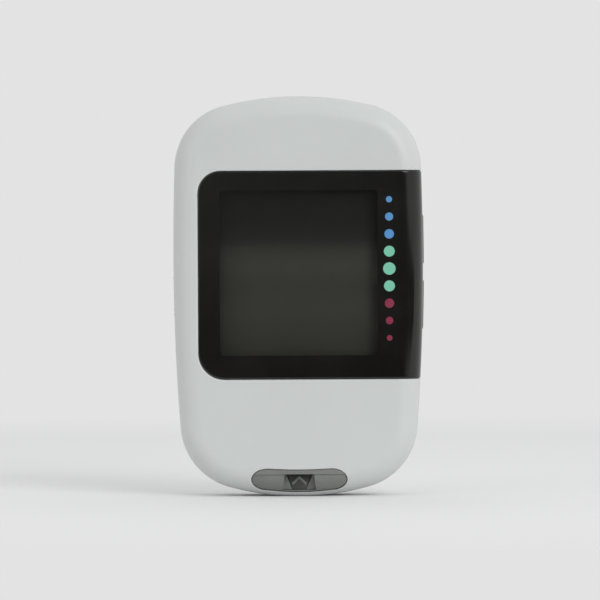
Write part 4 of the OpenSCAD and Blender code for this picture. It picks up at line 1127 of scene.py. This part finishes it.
def portInsert():
    lowX, topX, lip = guide["mouthLow"], guide["mouthTop"], guide["lip"]
    mouth = np.array([(-lowX, guide["mouthZ"]), (lowX, guide["mouthZ"]), (topX, lip), (-topX, lip)])
    mouth = resample(unroll("front", densify(mouth)), 0.2)
    x, foot = insert["sunkTo"]  # all of the face below the lip is sunk
    sunk = np.array([(-x, foot), (x, foot), (x, lip - 0.02), (-x, lip - 0.02)])
    sunk = resample(densify(sunk, 0.1), 0.2)
    sunk = pit(sunk, down=guide["sink"], r=0.06, draft=0.05)
    face = sheetOnSkin("front", portLoop(0), holes=[mouth], pits=[sunk], thickness=insert["faceT"],
                       edgeR=0.1, spacing=0.3, plunge=(0.3, 99))
    flat = resample(roundedLoop(*insert["plate"], insert["plateR"]), 0.3)
    plate = sheetOnSkin((guide["slotY"], -1), flat, holes=[offsetLoop(tongueLoop(), 0.05)],
                        thickness=insert["plateT"], edgeR=0.06, spacing=0.4)
    parts = [face, plate]
    (near, far), (z0, z1), back = insert["sleeveX"], insert["sleeveZ"], insert["sleeveBack"]
    for flip in (-1, 1):
        cheek = np.array(insert["cheek"]) * [flip, 1]
        parts.append(slab(cheek[::flip], *insert["cheekY"], r=0.02))
        x0, x1 = sorted((near * flip, far * flip))
        parts.append(block((x0, insert["cheekY"][0], z0 - 0.05), (x1, back, z1), 0.08))
    parts.append(block((-far, insert["coverY"][0], z0), (far, insert["coverY"][1], z1), 0.05))
    parts.append(block((-far, guide["slotY"], z0), (far, back, z1), 0.08))
    return makePiece("portInsert", parts, [portGrey], "root", ["strip_port_insert"])


def tongueLoop():
    low, top = (guide["tongueLow"], guide["tongueZ"]), (guide["tongueTop"], guide["lip"])
    end = (guide["tongueTop"], guide["tongueEnd"])
    corners = np.array([(-low[0], low[1]), low, top, end, (-end[0], end[1]), (-top[0], top[1])])
    pairs = zip(corners, np.roll(corners, -1, axis=0))
    sides = [resample(np.array(pair), 0.1, closed=False) for pair in pairs]
    return resample(softJoin(sides, 0.25), 0.2)


def stripGuide():  # a sloping tongue with a raised arrow head
    g, loop = guide, tongueLoop()
    slope = [g["slotY"] + rise for rise in g["slope"]]

    def ring(inset, back):
        inner = offsetLoop(loop, -inset)
        y = np.interp(inner[:, 1], [g["tongueZ"], g["lip"] + 0.2], slope)
        return np.stack([inner[:, 0], y + back, inner[:, 1]], 1)

    rings = [ring(0.12, 0.0), ring(0.05, 0.02), ring(0, 0.1), spread(loop, g["tongueBack"], "xz")]
    tip, half = g["chevronZ"], g["chevronHalf"]
    wing, foot = half - 0.35, tip - 1.75
    barb = tip - 1.45
    chevron = np.array([(0, tip), (-half, barb), (-wing, foot), (0, tip - 0.6), (wing, foot), (half, barb)])
    mark = slab(chevron, g["slotY"] - 0.02, g["slotY"] + g["chevronT"], r=0.05)
    mark["material"] = 1
    return makePiece("stripGuide", [loft(rings), mark], [guideDark, guideMark], "root",
                     ["strip_guide"])


def sideKey(name, z, bodyName, node):
    inner, y = cadBox(node)[0][0], sideRow["y"]
    points = np.array([(-1.0, -0.55), (1.0, -0.55), (0.0, 0.75)]) * 0.75
    mark = sideMark(points if name == "upKey" else -points, y, z)
    cap = sheetOnSkin("front", keyLoop(z, 0), pits=[pit(mark, down=0.09, r=0.04, draft=0.05)],
                      thickness=sideRow["keyDepth"], edgeR=0.28, lift=0.7 * sideRow["proud"], spacing=0.35)
    halfW, halfL = sideRow["keyW"] / 2 + sideRow["flange"], sideRow["keyL"] / 2 + sideRow["flange"]
    foot = block((inner, y - halfW, z - halfL), (inner + sideRow["footT"], y + halfW, z + halfL), 0.12)
    return makePiece(name, [cap, foot], [buttonBlack], bodyName, [node])


def sideMark(points, y, z):  # a small triangle on the side wall, pointing along Z
    corners = np.stack([y + points[:, 0], z + points[:, 1]], 1)
    flat = densify(corners)
    loop = resample(unrollSide("front", flat[:, 0], flat[:, 1], 1), 0.12)
    turn = ((np.roll(loop[:, 0], -1) - loop[:, 0]) * (np.roll(loop[:, 1], -1) + loop[:, 1])).sum()
    return loop[::-1] if turn > 0 else loop


ejector = {
    "capW": 3.5, "capZ": (33.6, 43.6), "capR": 0.9, "capT": 0.6, "capLift": -0.1,
    "ribs": 8, "pitch": 1.0, "ribHalf": 0.27, "ribRise": 0.15, "ribEnds": 0.35,
    "stemX": -23.5, "stemHalf": 0.75, "stemZ": (34.8, 42.4), "slideX": (-21.0, -20.0), "slideHalf": 1.3,
    "armY": (-4.6, -3.6), "armZ": (17.5, 18.9), "pusherHalf": 2.0, "pusherY": -5.55,
    "tabX": -18.15, "tabY": (-2.25, -0.55), "tabZ": (32.0, 33.0),
}


def stripEjector():  # thumb cap, stem through the slot, slide on the board's side, arm and pusher
    e, y = ejector, sideRow["y"]
    capLoop = sideLoop(y - e["capW"] / 2, y + e["capW"] / 2, *e["capZ"], e["capR"], -1)
    cap = sheetOnSkin("front", capLoop, thickness=e["capT"], edgeR=0.16, lift=e["capLift"], spacing=0.4)
    (slide0, slide1), (armY0, armY1), (arm0, arm1) = e["slideX"], e["armY"], e["armZ"]
    stem, half, (stem0, stem1) = e["stemHalf"], e["slideHalf"], e["stemZ"]
    blocks = [
        ((e["stemX"], y - stem, stem0), (slide0 + 0.2, y + stem, stem1), 0.12),
        ((slide0, y - half, arm0), (slide1, y + half, stem1), 0.15),
        ((slide0, e["tabY"][0], e["tabZ"][0]), (e["tabX"], e["tabY"][1], e["tabZ"][1]), 0.1),
        ((slide0 + 0.3, armY0, arm0), (slide1, y - half + 0.3, arm1), 0.12),
        ((slide0 + 0.3, armY0, arm0), (e["pusherHalf"], armY1, arm1), 0.12),
        ((-e["pusherHalf"], e["pusherY"], arm0), (e["pusherHalf"], armY1, arm1), 0.12),
    ]
    parts = [cap] + [block(low, high, r) for low, high, r in blocks]
    return makePiece("stripEjector", parts, [ejectorGrey], "ejector", ["strip_ejector"])


def ejectorRibs():  # Geometry Nodes lay rounded ribs across the thumb cap, in a row that leans with the skin
    e, y = ejector, sideRow["y"]
    middle, reach = sum(e["capZ"]) / 2, (e["ribs"] - 1) / 2 * e["pitch"]
    rowZ = [middle - reach, middle + reach]
    low, high = onSkin("front", unrollSide("front", [y, y], rowZ, -1), 0.02 - e["capLift"])
    mesh = bpy.data.meshes.new("ribSeat")
    mesh.from_pydata([(low[0] * mm, y * mm, rowZ[0] * mm)], [], [])
    tree, source, sink = newNodes("thumbRibs", {
        "Rib Count": e["ribs"], "Pitch": e["pitch"] * mm, "Lean": (high[0] - low[0]) / (e["ribs"] - 1) * mm,
        "Rib Length": (e["capW"] - 2 * e["ribEnds"]) * mm, "Rib Half Width": e["ribHalf"] * mm,
        "Rise": e["ribRise"] * mm,
    })
    step = joinXYZ(tree, source["Lean"], 0.0, source["Pitch"])
    row = addNode(tree, "GeometryNodeMeshLine", {"Count": source["Rib Count"], "Offset": step}, mode="OFFSET")
    start = placeOn(tree, source["Geometry"], row.outputs[0])
    points = addNode(tree, "GeometryNodeRealizeInstances", {"Geometry": start}).outputs[0]

    half = times(tree, source["Rib Length"], 0.5)
    start, end = joinXYZ(tree, 0.0, times(tree, half, -1.0)), joinXYZ(tree, 0.0, half)
    line = addNode(tree, "GeometryNodeMeshLine", {"Count": 13, "Start Location": start, "Offset": end},
                   mode="END_POINTS")
    curve = addNode(tree, "GeometryNodeMeshToCurve", {"Mesh": line.outputs[0]}).outputs[0]
    # full along most of the rib, and rounded off towards its ends
    along = addNode(tree, "GeometryNodeSplineParameter").outputs["Factor"]
    fromMiddle = maths(tree, "ABSOLUTE", maths(tree, "SUBTRACT", times(tree, along, 2.0), 1.0))
    bow = maths(tree, "SQRT", maths(tree, "SUBTRACT", 1.0, maths(tree, "POWER", fromMiddle, 8.0), True))
    radius = maths(tree, "MAXIMUM", bow, 0.25)
    curve = addNode(tree, "GeometryNodeSetCurveRadius", {"Curve": curve, "Radius": radius}).outputs[0]
    rib = sweptCircle(tree, curve, 20, source["Rib Half Width"])
    flatten = maths(tree, "DIVIDE", source["Rise"], source["Rib Half Width"])
    placed = placeOn(tree, points, rib, Scale=joinXYZ(tree, flatten, 1.0, 1.0))
    closeNodes(tree, sink, placed, source["Finish"])
    return finishNodes("ejectorRibs", mesh, tree, {"Finish": ejectorGrey}, "ejector",
                       sharpAt=60)


spring = {"middle": (-19.0, -1.4), "z": (21.5, 32.0), "r": 0.72, "wire": 0.115, "turns": 9.5}


def ejectorSpring():  # a wound wire by Geometry Nodes
    c, (x, y), (z0, z1) = spring, spring["middle"], spring["z"]
    mesh = bpy.data.meshes.new("springSeat")
    mesh.from_pydata([(x * mm, y * mm, (z0 + c["wire"]) * mm)], [], [])
    tree, source, sink = newNodes("woundWire", {
        "Turns": c["turns"], "Coil Radius": c["r"] * mm, "Wire Radius": c["wire"] * mm,
        "Height": (z1 - z0 - 2 * c["wire"]) * mm,
    })
    coil = addNode(tree, "GeometryNodeCurveSpiral", {
        "Resolution": 28, "Rotations": source["Turns"], "Start Radius": source["Coil Radius"],
        "End Radius": source["Coil Radius"], "Height": source["Height"],
    }).outputs[0]
    wire = sweptCircle(tree, coil, 12, source["Wire Radius"])
    closeNodes(tree, sink, placeOn(tree, source["Geometry"], wire), source["Finish"])
    piece = finishNodes("ejectorSpring", mesh, tree, {"Finish": springWire}, "root",
                        ["ejector_spring"], 60)
    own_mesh(piece)
    return piece


# The rear housing, with the bay of the two cells, and its door.
bay = {
    "door": 21.1, "doorZ": (42.0, 65.2), "doorR": 1.6, "doorT": 1.2, "gap": 0.12,
    "tub": 22.1, "tubZ": (40.8, 66.4), "floor": 2.25,
    "low": -9.3, "top": 11.5,  # of the room for the cells, from their middle
    "cellX": 10.3, "cellZ": 53.0, "cellR": 10.0, "cellY": (2.4, 5.6), "room": 0.3,
    "hookX": 16.6, "hookW": 3.4, "hookRoom": 0.3, "hookFloor": 3.25, "tabX": 3.0,
    "notch": (64.0, 4.2, 1.0), "padR": 3.0, "padRing": (6.6, 6.0), "ribX": 15, "ribZ": 8.6,
}
screws = {
    "shankR": 0.9, "headR": 1.7, "headT": 1.0, "headY": (5.35, 6.35),
    "boreR": 1.85, "bossR": 2.2, "bossY": (1.4, 4.9),
    "cross": 0.42, "crossReach": 0.95, "crossDeep": 0.55, "pitch": 0.28,
}
label = {"halfW": 13.0, "z": (15.5, 33.5), "r": 1.4, "y": (7.5, 7.62)}
innerLip = {"insets": (0.1, 0.7), "y": (0.5, 2.2)}  # stands inside the wall, and goes into the front housing


def doorLoop(grow):
    x, (z0, z1) = bay["door"] + grow, bay["doorZ"]
    flat = densify(roundedLoop(-x, z0 - grow, x, z1 + grow, bay["doorR"] + grow))
    return resample(unroll("back", flat), loopStep)


def cellsLoop():  # the two round pockets and the room between and above them, as one outline
    r, cx, cz = bay["cellR"] + bay["room"], bay["cellX"], bay["cellZ"]
    top, low = cz + bay["top"], cz + bay["low"]
    # right half: from the middle of the foot round the right pocket to the middle of the top
    foot = math.sqrt(r ** 2 - (cz - low) ** 2)
    wing = 4.0
    rise = math.sqrt(r ** 2 - wing ** 2)
    start, end = math.degrees(math.atan2(low - cz, -foot)), math.degrees(math.atan2(rise, wing))
    right = np.concatenate([
        [(0.0, low), (cx - foot, low)], arcPoints(cx, cz, r, start, end, 90),
        arcPoints(cx + wing - 1, top - 1, 1, 0, 90, 10), [(0.0, top)],
    ])
    loop = np.concatenate([right, right[-2:0:-1] * [-1, 1]])
    return resample(densify(loop, 0.1), 0.3)


def tubLoop():  # the bay's block, notched where the door's hooks go under the wall
    b = bay
    x, (z0, z1), w = b["tub"], b["tubZ"], b["hookW"] / 2 + 0.35
    step = b["doorZ"][0] - 0.1
    corners = [(-x, z0)]
    for hook in (-b["hookX"], b["hookX"]):
        corners += [(hook - w, z0), (hook - w, step), (hook + w, step), (hook + w, z0)]
    corners += [(x, z0), (x, z1), (-x, z1)]
    return resample(unroll("back", densify(np.array(corners), 0.1)), 0.3)


def labelLoop(grow):
    x, (z0, z1) = label["halfW"] + grow, label["z"]
    return roundedLoop(-x, z0 - grow, x, z1 + grow, label["r"] + grow)


def rearHousing():
    b, half = bay, bay["hookW"] / 2 + bay["hookRoom"]
    rooms = [densify(roundedLoop(x - half, b["doorZ"][0] - b["gap"], x + half, b["cellZ"] - 6, 0.3), 0.25)
             for x in (-b["hookX"], b["hookX"])]
    pits = [pit(doorLoop(b["gap"]), down=b["doorT"] + 0.05, r=0.15, draft=0.03),
            pit(cellsLoop(), floor=b["floor"], r=0.12, draft=0.04),
            pit(densify(labelLoop(0.1), 0.3), floor=label["y"][0] - 0.03, r=0.05, draft=0.03)]
    pits += [pit(room, floor=b["hookFloor"], r=0.05) for room in rooms]
    pits += [pit(circleLoop(x, z, screws["boreR"]), floor=screws["headY"][0], r=0.2, draft=0.03)
             for x, z in screwSpots]
    under = [pit(tubLoop(), floor=b["floor"] - 0.5, r=0.01)]
    under += [pit(circleLoop(x, z, screws["bossR"] + 0.2), floor=4.5, r=0.01) for x, z in screwSpots]
    outer = resample(outlineLoop(mapInset("back", body["rearStart"])[0]), loopStep)
    parts = [sheetOnSkin("back", outer, pits=pits, under=under, thickness=body["wall"], edgeR=0.14,
                         spacing=0.62)]
    parts += [tube(screws["bossR"], screws["shankR"] + 0.03, x, z, *screws["bossY"]) for x, z in screwSpots]

    loops = [resample(outlineLoop(body["wall"] + inset, 0.6), 0.5) for inset in innerLip["insets"]]
    count = min(len(loop) for loop in loops)
    out, inn = (resample(loop, count=count) for loop in loops)
    y0, y1 = innerLip["y"]
    rings = [spread(loop, y, "xz") for loop, y in ((out, y0), (out, y1), (inn, y1), (inn, y0))]
    parts.append(loft(rings, closed=True))
    return makePiece("rearHousing", parts, [rearGrey], "root", ["rear_housing"])


def batteryDoor():  # a curved panel with hooks, a snap tab, a pad and a ring over each cell, and two ribs
    b, inner = bay, body["backY"] - bay["doorT"]
    z, sphereR, sink = b["notch"]
    parts = [sheetOnSkin("back", doorLoop(0), pits=[bowl(0, z, sphereR, sink)], thickness=b["doorT"],
                         edgeR=0.16, spacing=0.6)]
    half, low, high = b["hookW"] / 2, b["doorZ"][0], b["cellZ"] + b["top"]
    for x in (-b["hookX"], b["hookX"]):
        parts.append(block((x - half, inner - 1.4, low - 1.7), (x + half, inner - 0.45, low + 1.2), 0.12))
        parts.append(block((x - half, inner - 1.4, low + 0.1), (x + half, inner + 0.1, low + 1.2), 0.1))
    tab, tabY = b["tabX"], b["cellY"][0] + 1.2
    parts.append(block((-tab, tabY, high - 1.1), (tab, inner + 0.1, high - 0.5), 0.1))
    y0, r = b["cellY"][1] + 0.1, b["padR"]
    pad = [(r - 0.2, y0), (r - 0.05, y0 + 0.05), (r, y0 + 0.2), (r, inner + 0.1)]
    for x in (-b["cellX"], b["cellX"]):
        parts.append(lathe(pad, x, b["cellZ"]))
        parts.append(tube(*b["padRing"], x, b["cellZ"], inner - 0.4, inner + 0.1, 72))
    for z in (b["cellZ"] - b["ribZ"], b["cellZ"] + b["ribZ"]):
        parts.append(block((-b["ribX"], inner - 0.45, z - 0.3), (b["ribX"], inner + 0.1, z + 0.3), 0.08))
    return makePiece("batteryDoor", parts, [rearGrey], "door", ["battery_door"])


def coinCell(name, x, node):  # a can with a stamped cross, a dark seal and a cap
    z, (y0, y1) = bay["cellZ"], bay["cellY"]
    stamp = pit(densify(crossLoop(0.35, 2.1, x, z), 0.2), down=0.07, r=0.06)
    can = sheetOnSkin((y1, 1), circleLoop(x, z, bay["cellR"], 128), pits=[stamp],
                      thickness=y1 - y0 - 0.32, edgeR=0.42, spacing=0.7)
    seal = lathe([(9.0, y0 + 0.1), (9.72, y0 + 0.1), (9.72, y0 + 0.5), (9.0, y0 + 0.5)], x, z, 96)
    seal["material"] = 1
    cap = lathe([(0.01, y0), (9.0, y0), (9.3, y0 + 0.06), (9.45, y0 + 0.25), (9.45, y0 + 0.5)], x, z, 96)
    return makePiece(name, [can, seal, cap], [cellNickel, socketBlack], "root", [node])


def ratingLabel():
    y0, y1 = label["y"]
    loop = resample(densify(labelLoop(0)), 0.4)
    film = sheetOnSkin((y1, 1), loop, thickness=y1 - y0, edgeR=0.03, spacing=1.2)
    return makePiece("ratingLabel", [film], [labelFilm], "root", ["rating_label"])


def screwSource():  # one pan-headed screw with a cross recess, its head's top at the origin, pointing back
    cross = densify(crossLoop(screws["cross"] / 2, screws["crossReach"]), 0.12)
    recess = pit(cross, down=screws["crossDeep"], r=0.04, draft=0.08)
    head = sheetOnSkin((0.0, 1), circleLoop(0, 0, screws["headR"], 72), pits=[recess],
                       thickness=screws["headT"], edgeR=0.4, spacing=0.3)
    tip = cadBox("housing_screws")[0][1] - screws["headY"][1]
    r, pitch = screws["shankR"], screws["pitch"]
    turns = [(r * (0.80 if k % 2 else 1.0), -0.9 - pitch * k) for k in range(int((-tip - 1.4) / pitch))]
    shank = lathe([(0.02, tip), (r * 0.55, tip + 0.1)] + turns[::-1] + [(r, -0.9)], 0, 0, 32)
    verts = np.concatenate([head["verts"], shank["verts"]]) * mm
    start = len(head["verts"])
    faces = [tuple(f) for f in head["faces"]] + [tuple(int(i) + start for i in f) for f in shank["faces"]]
    mesh = bpy.data.meshes.new("screwShape")
    mesh.from_pydata(verts.tolist(), [], faces)
    return addObject("screwShape", mesh)


def housingScrews():  # Geometry Nodes put the screw in every bore, each turned its own way
    shape = screwSource()
    mesh = bpy.data.meshes.new("screwSeats")
    mesh.from_pydata([(x * mm, screws["headY"][1] * mm, z * mm) for x, z in screwSpots], [], [])
    tree, source, sink = newNodes("bossScrews", {"Screw": None, "Turn Range": 1.4, "Seed": 7})
    screw = addNode(tree, "GeometryNodeObjectInfo", {"Object": source["Screw"]}).outputs["Geometry"]
    turn = addNode(tree, "FunctionNodeRandomValue", {"Max": source["Turn Range"], "Seed": source["Seed"]},
                   data_type="FLOAT")
    turn = [o for o in turn.outputs if o.enabled][0]
    placed = placeOn(tree, source["Geometry"], screw, Rotation=joinXYZ(tree, 0.0, turn))
    closeNodes(tree, sink, placed, source["Finish"])
    piece = finishNodes("housingScrews", mesh, tree, {"Screw": shape, "Finish": screwSteel}, "root",
                        ["housing_screws"])
    bpy.data.objects.remove(shape)
    return piece


def dataSocket():  # a rolled metal shell with a tongue and its contacts
    low, high = cadBox("usb_connector")
    wall, floorZ = 0.3, high[2] - 4.8
    loop = resample(densify(roundedLoop(low[0], low[1], high[0], high[1], 1.2), 0.05), 0.2)

    def ring(inset, z):
        return spread(offsetLoop(loop, -inset), z, "xy")

    levels = [(0.1, low[2]), (0, low[2] + 0.1), (0, high[2] - 0.08), (0.06, high[2]),
              (wall - 0.06, high[2]), (wall, high[2] - 0.08), (wall, floorZ)]
    shell = loft([ring(inset, z) for inset, z in levels])
    makePiece("dataSocketShell", [shell], [tinPlate], "root", ["usb_connector"])
    low, high = cadBox("usb_tongue")
    parts = [block((low[0], low[1] + 0.03, low[2]), (high[0], high[1] - 0.03, high[2]), 0.08)]
    for i in range(5):  # five contacts, 0.65 apart
        x = (i - 2) * 0.65
        contact = block((x - 0.13, low[1], low[2] + 0.3), (x + 0.13, low[1] + 0.08, high[2] - 0.25), 0.02)
        contact["material"] = 1
        parts.append(contact)
    return makePiece("dataSocketTongue", parts, [socketBlack, goldFlash], "root",
                     ["usb_tongue"])


frontHousing()
displayWindow()
rangeDots()
lcdPanel()
portInsert()
stripGuide()
sideKey("upKey", keyZ["up"], "upper_key", "up_button")
sideKey("downKey", keyZ["down"], "lower_key", "down_button")
stripEjector()
ejectorRibs()
ejectorSpring()
rearHousing()
batteryDoor()
coinCell("leftCell", -bay["cellX"], "left_cell")
coinCell("rightCell", bay["cellX"], "right_cell")
ratingLabel()
housingScrews()
dataSocket()

# The studio: a white floor that fades into a plain pale background, and soft light.
studio = {
    "background": 0.768, "floorAlbedo": 0.82,
    "fadeBehind": 0.12, "fadeFrom": 0.16, "fadeTo": 0.30,  # by distance from a spot behind the part
    "distance": 1.0, "elevation": 0.8, "roll": -0.3, "aimX": 0.0003, "aimZ": 0.03784, "frameWidth": 0.1153,
}


def seenRays(tree):  # 1 for rays that show what they meet; and the same for the camera's own
    path = addNode(tree, "ShaderNodeLightPath").outputs
    seen = maths(tree, "MAXIMUM", path["Is Camera Ray"], path["Is Transmission Ray"])
    return maths(tree, "MAXIMUM", seen, path["Is Glossy Ray"]), path["Is Camera Ray"]


def makeFloor():
    mesh = bpy.data.meshes.new("studioFloor")
    mesh.from_pydata([(-1.5, -0.2, 0), (1.5, -0.2, 0), (1.5, 2, 0), (-1.5, 2, 0)], [], [(0, 1, 2, 3)])
    floor = addObject("studioFloor", mesh)
    settings = {"Specular IOR Level": 0.2}
    material, tree, shader, position, skin = startMaterial("paperWhite", 1500.0, 12.0, settings)
    white = studio["floorAlbedo"]
    tint = mixColour(tree, skin["Patches"], (white * 0.99, white * 0.995, white, 1), (white, white, white, 1))
    rough = spreadOver(tree, skin["Patches"], 0, 1, 0.75, 0.85)
    finishSurface(tree, shader, tint, rough, skin["Grain"], 0.00001)
    centre = (0.0, studio["fadeBehind"], 0.0)
    far = addNode(tree, "ShaderNodeVectorMath", {0: position, 1: centre}, operation="DISTANCE")
    fade = spreadOver(tree, far.outputs["Value"], studio["fadeFrom"], studio["fadeTo"])
    back = studio["background"]
    glow = addNode(tree, "ShaderNodeEmission", {"Color": (back, back, back, 1), "Strength": 1.0})
    fade = times(tree, fade, seenRays(tree)[0])
    mix = addNode(tree, "ShaderNodeMixShader", {0: fade, 1: shader.outputs[0], 2: glow.outputs[0]})
    tree.links.new(mix.outputs[0], tree.nodes["Material Output"].inputs["Surface"])
    mesh.materials.append(material)


def mixValue(tree, factor, a, b):
    return addNode(tree, "ShaderNodeMix", {0: factor, 2: a, 3: b}, data_type="FLOAT").outputs[0]


def makeWorld():
    world = bpy.data.worlds.new("studio")
    bpy.context.scene.world = world
    world.use_nodes = True
    tree = world.node_tree
    direction = addNode(tree, "ShaderNodeTexCoord").outputs["Generated"]
    x, y, z = splitXYZ(tree, direction)
    front = times(tree, y, -1.0)
    core = spreadOver(tree, front, 0.70, 0.91)  # the dim room in front of the display
    # beside it, just under the horizon, the dim part runs on to the side and sinks as it goes
    edgeZ = spreadOver(tree, front, 0.24, 0.87, -0.012, 0.02)
    under = spreadOver(tree, maths(tree, "SUBTRACT", z, edgeZ), 0.003, -0.003)
    above = spreadOver(tree, z, -0.08, -0.06)
    side = spreadOver(tree, front, 0.20, 0.26)
    band = times(tree, times(tree, under, above), side)
    dimmed = maths(tree, "MAXIMUM", core, band)
    bright = spreadOver(tree, z, -0.5, 0.8, 0.86, 0.81)
    bright = maths(tree, "ADD", bright, times(tree, x, 0.05))
    low = spreadOver(tree, z, -0.035, 0.012, 0.06, 0.20)
    low = times(tree, low, spreadOver(tree, x, -0.02, 0.03, 1.15, 0.6))
    seen, camera = seenRays(tree)
    around = mixValue(tree, seen, bright, studio["background"])
    dimmed = times(tree, dimmed, maths(tree, "SUBTRACT", 1.0, camera))
    level = mixValue(tree, dimmed, around, low)
    colour = addNode(tree, "ShaderNodeCombineColor", {0: level, 1: level, 2: level}).outputs[0]
    tree.links.new(colour, tree.nodes["Background"].inputs["Color"])


def addLamp(name, place, size, power):  # a round soft lamp, turned to the middle of the part
    lamp = bpy.data.lights.new(name, "AREA")
    lamp.shape, lamp.size, lamp.energy = "DISK", size, power
    thing = addObject(name, lamp)
    thing.location = place
    thing.rotation_euler = (Vector((0, 0, 0.035)) - Vector(place)).to_track_quat("-Z", "Y").to_euler()


def makeCamera():
    data = bpy.data.cameras.new("camera")
    camera = addObject("camera", data)
    data.lens = data.sensor_width * studio["distance"] / studio["frameWidth"]
    data.clip_start, data.clip_end = 0.01, 10
    aim = Vector((studio["aimX"], body["frontY"] * mm, studio["aimZ"]))
    rise = math.radians(studio["elevation"])
    camera.location = aim + Vector((0, -math.cos(rise), math.sin(rise))) * studio["distance"]
    look = (aim - camera.location).to_track_quat("-Z", "Y")
    camera.rotation_euler = look.to_euler()
    camera.rotation_euler.rotate_axis("Z", math.radians(studio["roll"]))
    bpy.context.scene.camera = camera


makeFloor()
makeWorld()
addLamp("keyLamp", (0.55, -0.85, 0.5), 0.7, 4.9)
addLamp("fillLamp", (-0.75, -0.8, 0.25), 0.5, 0.75)
makeCamera()
bpy.context.scene.view_settings.view_transform = "Standard"
print("studio ready")
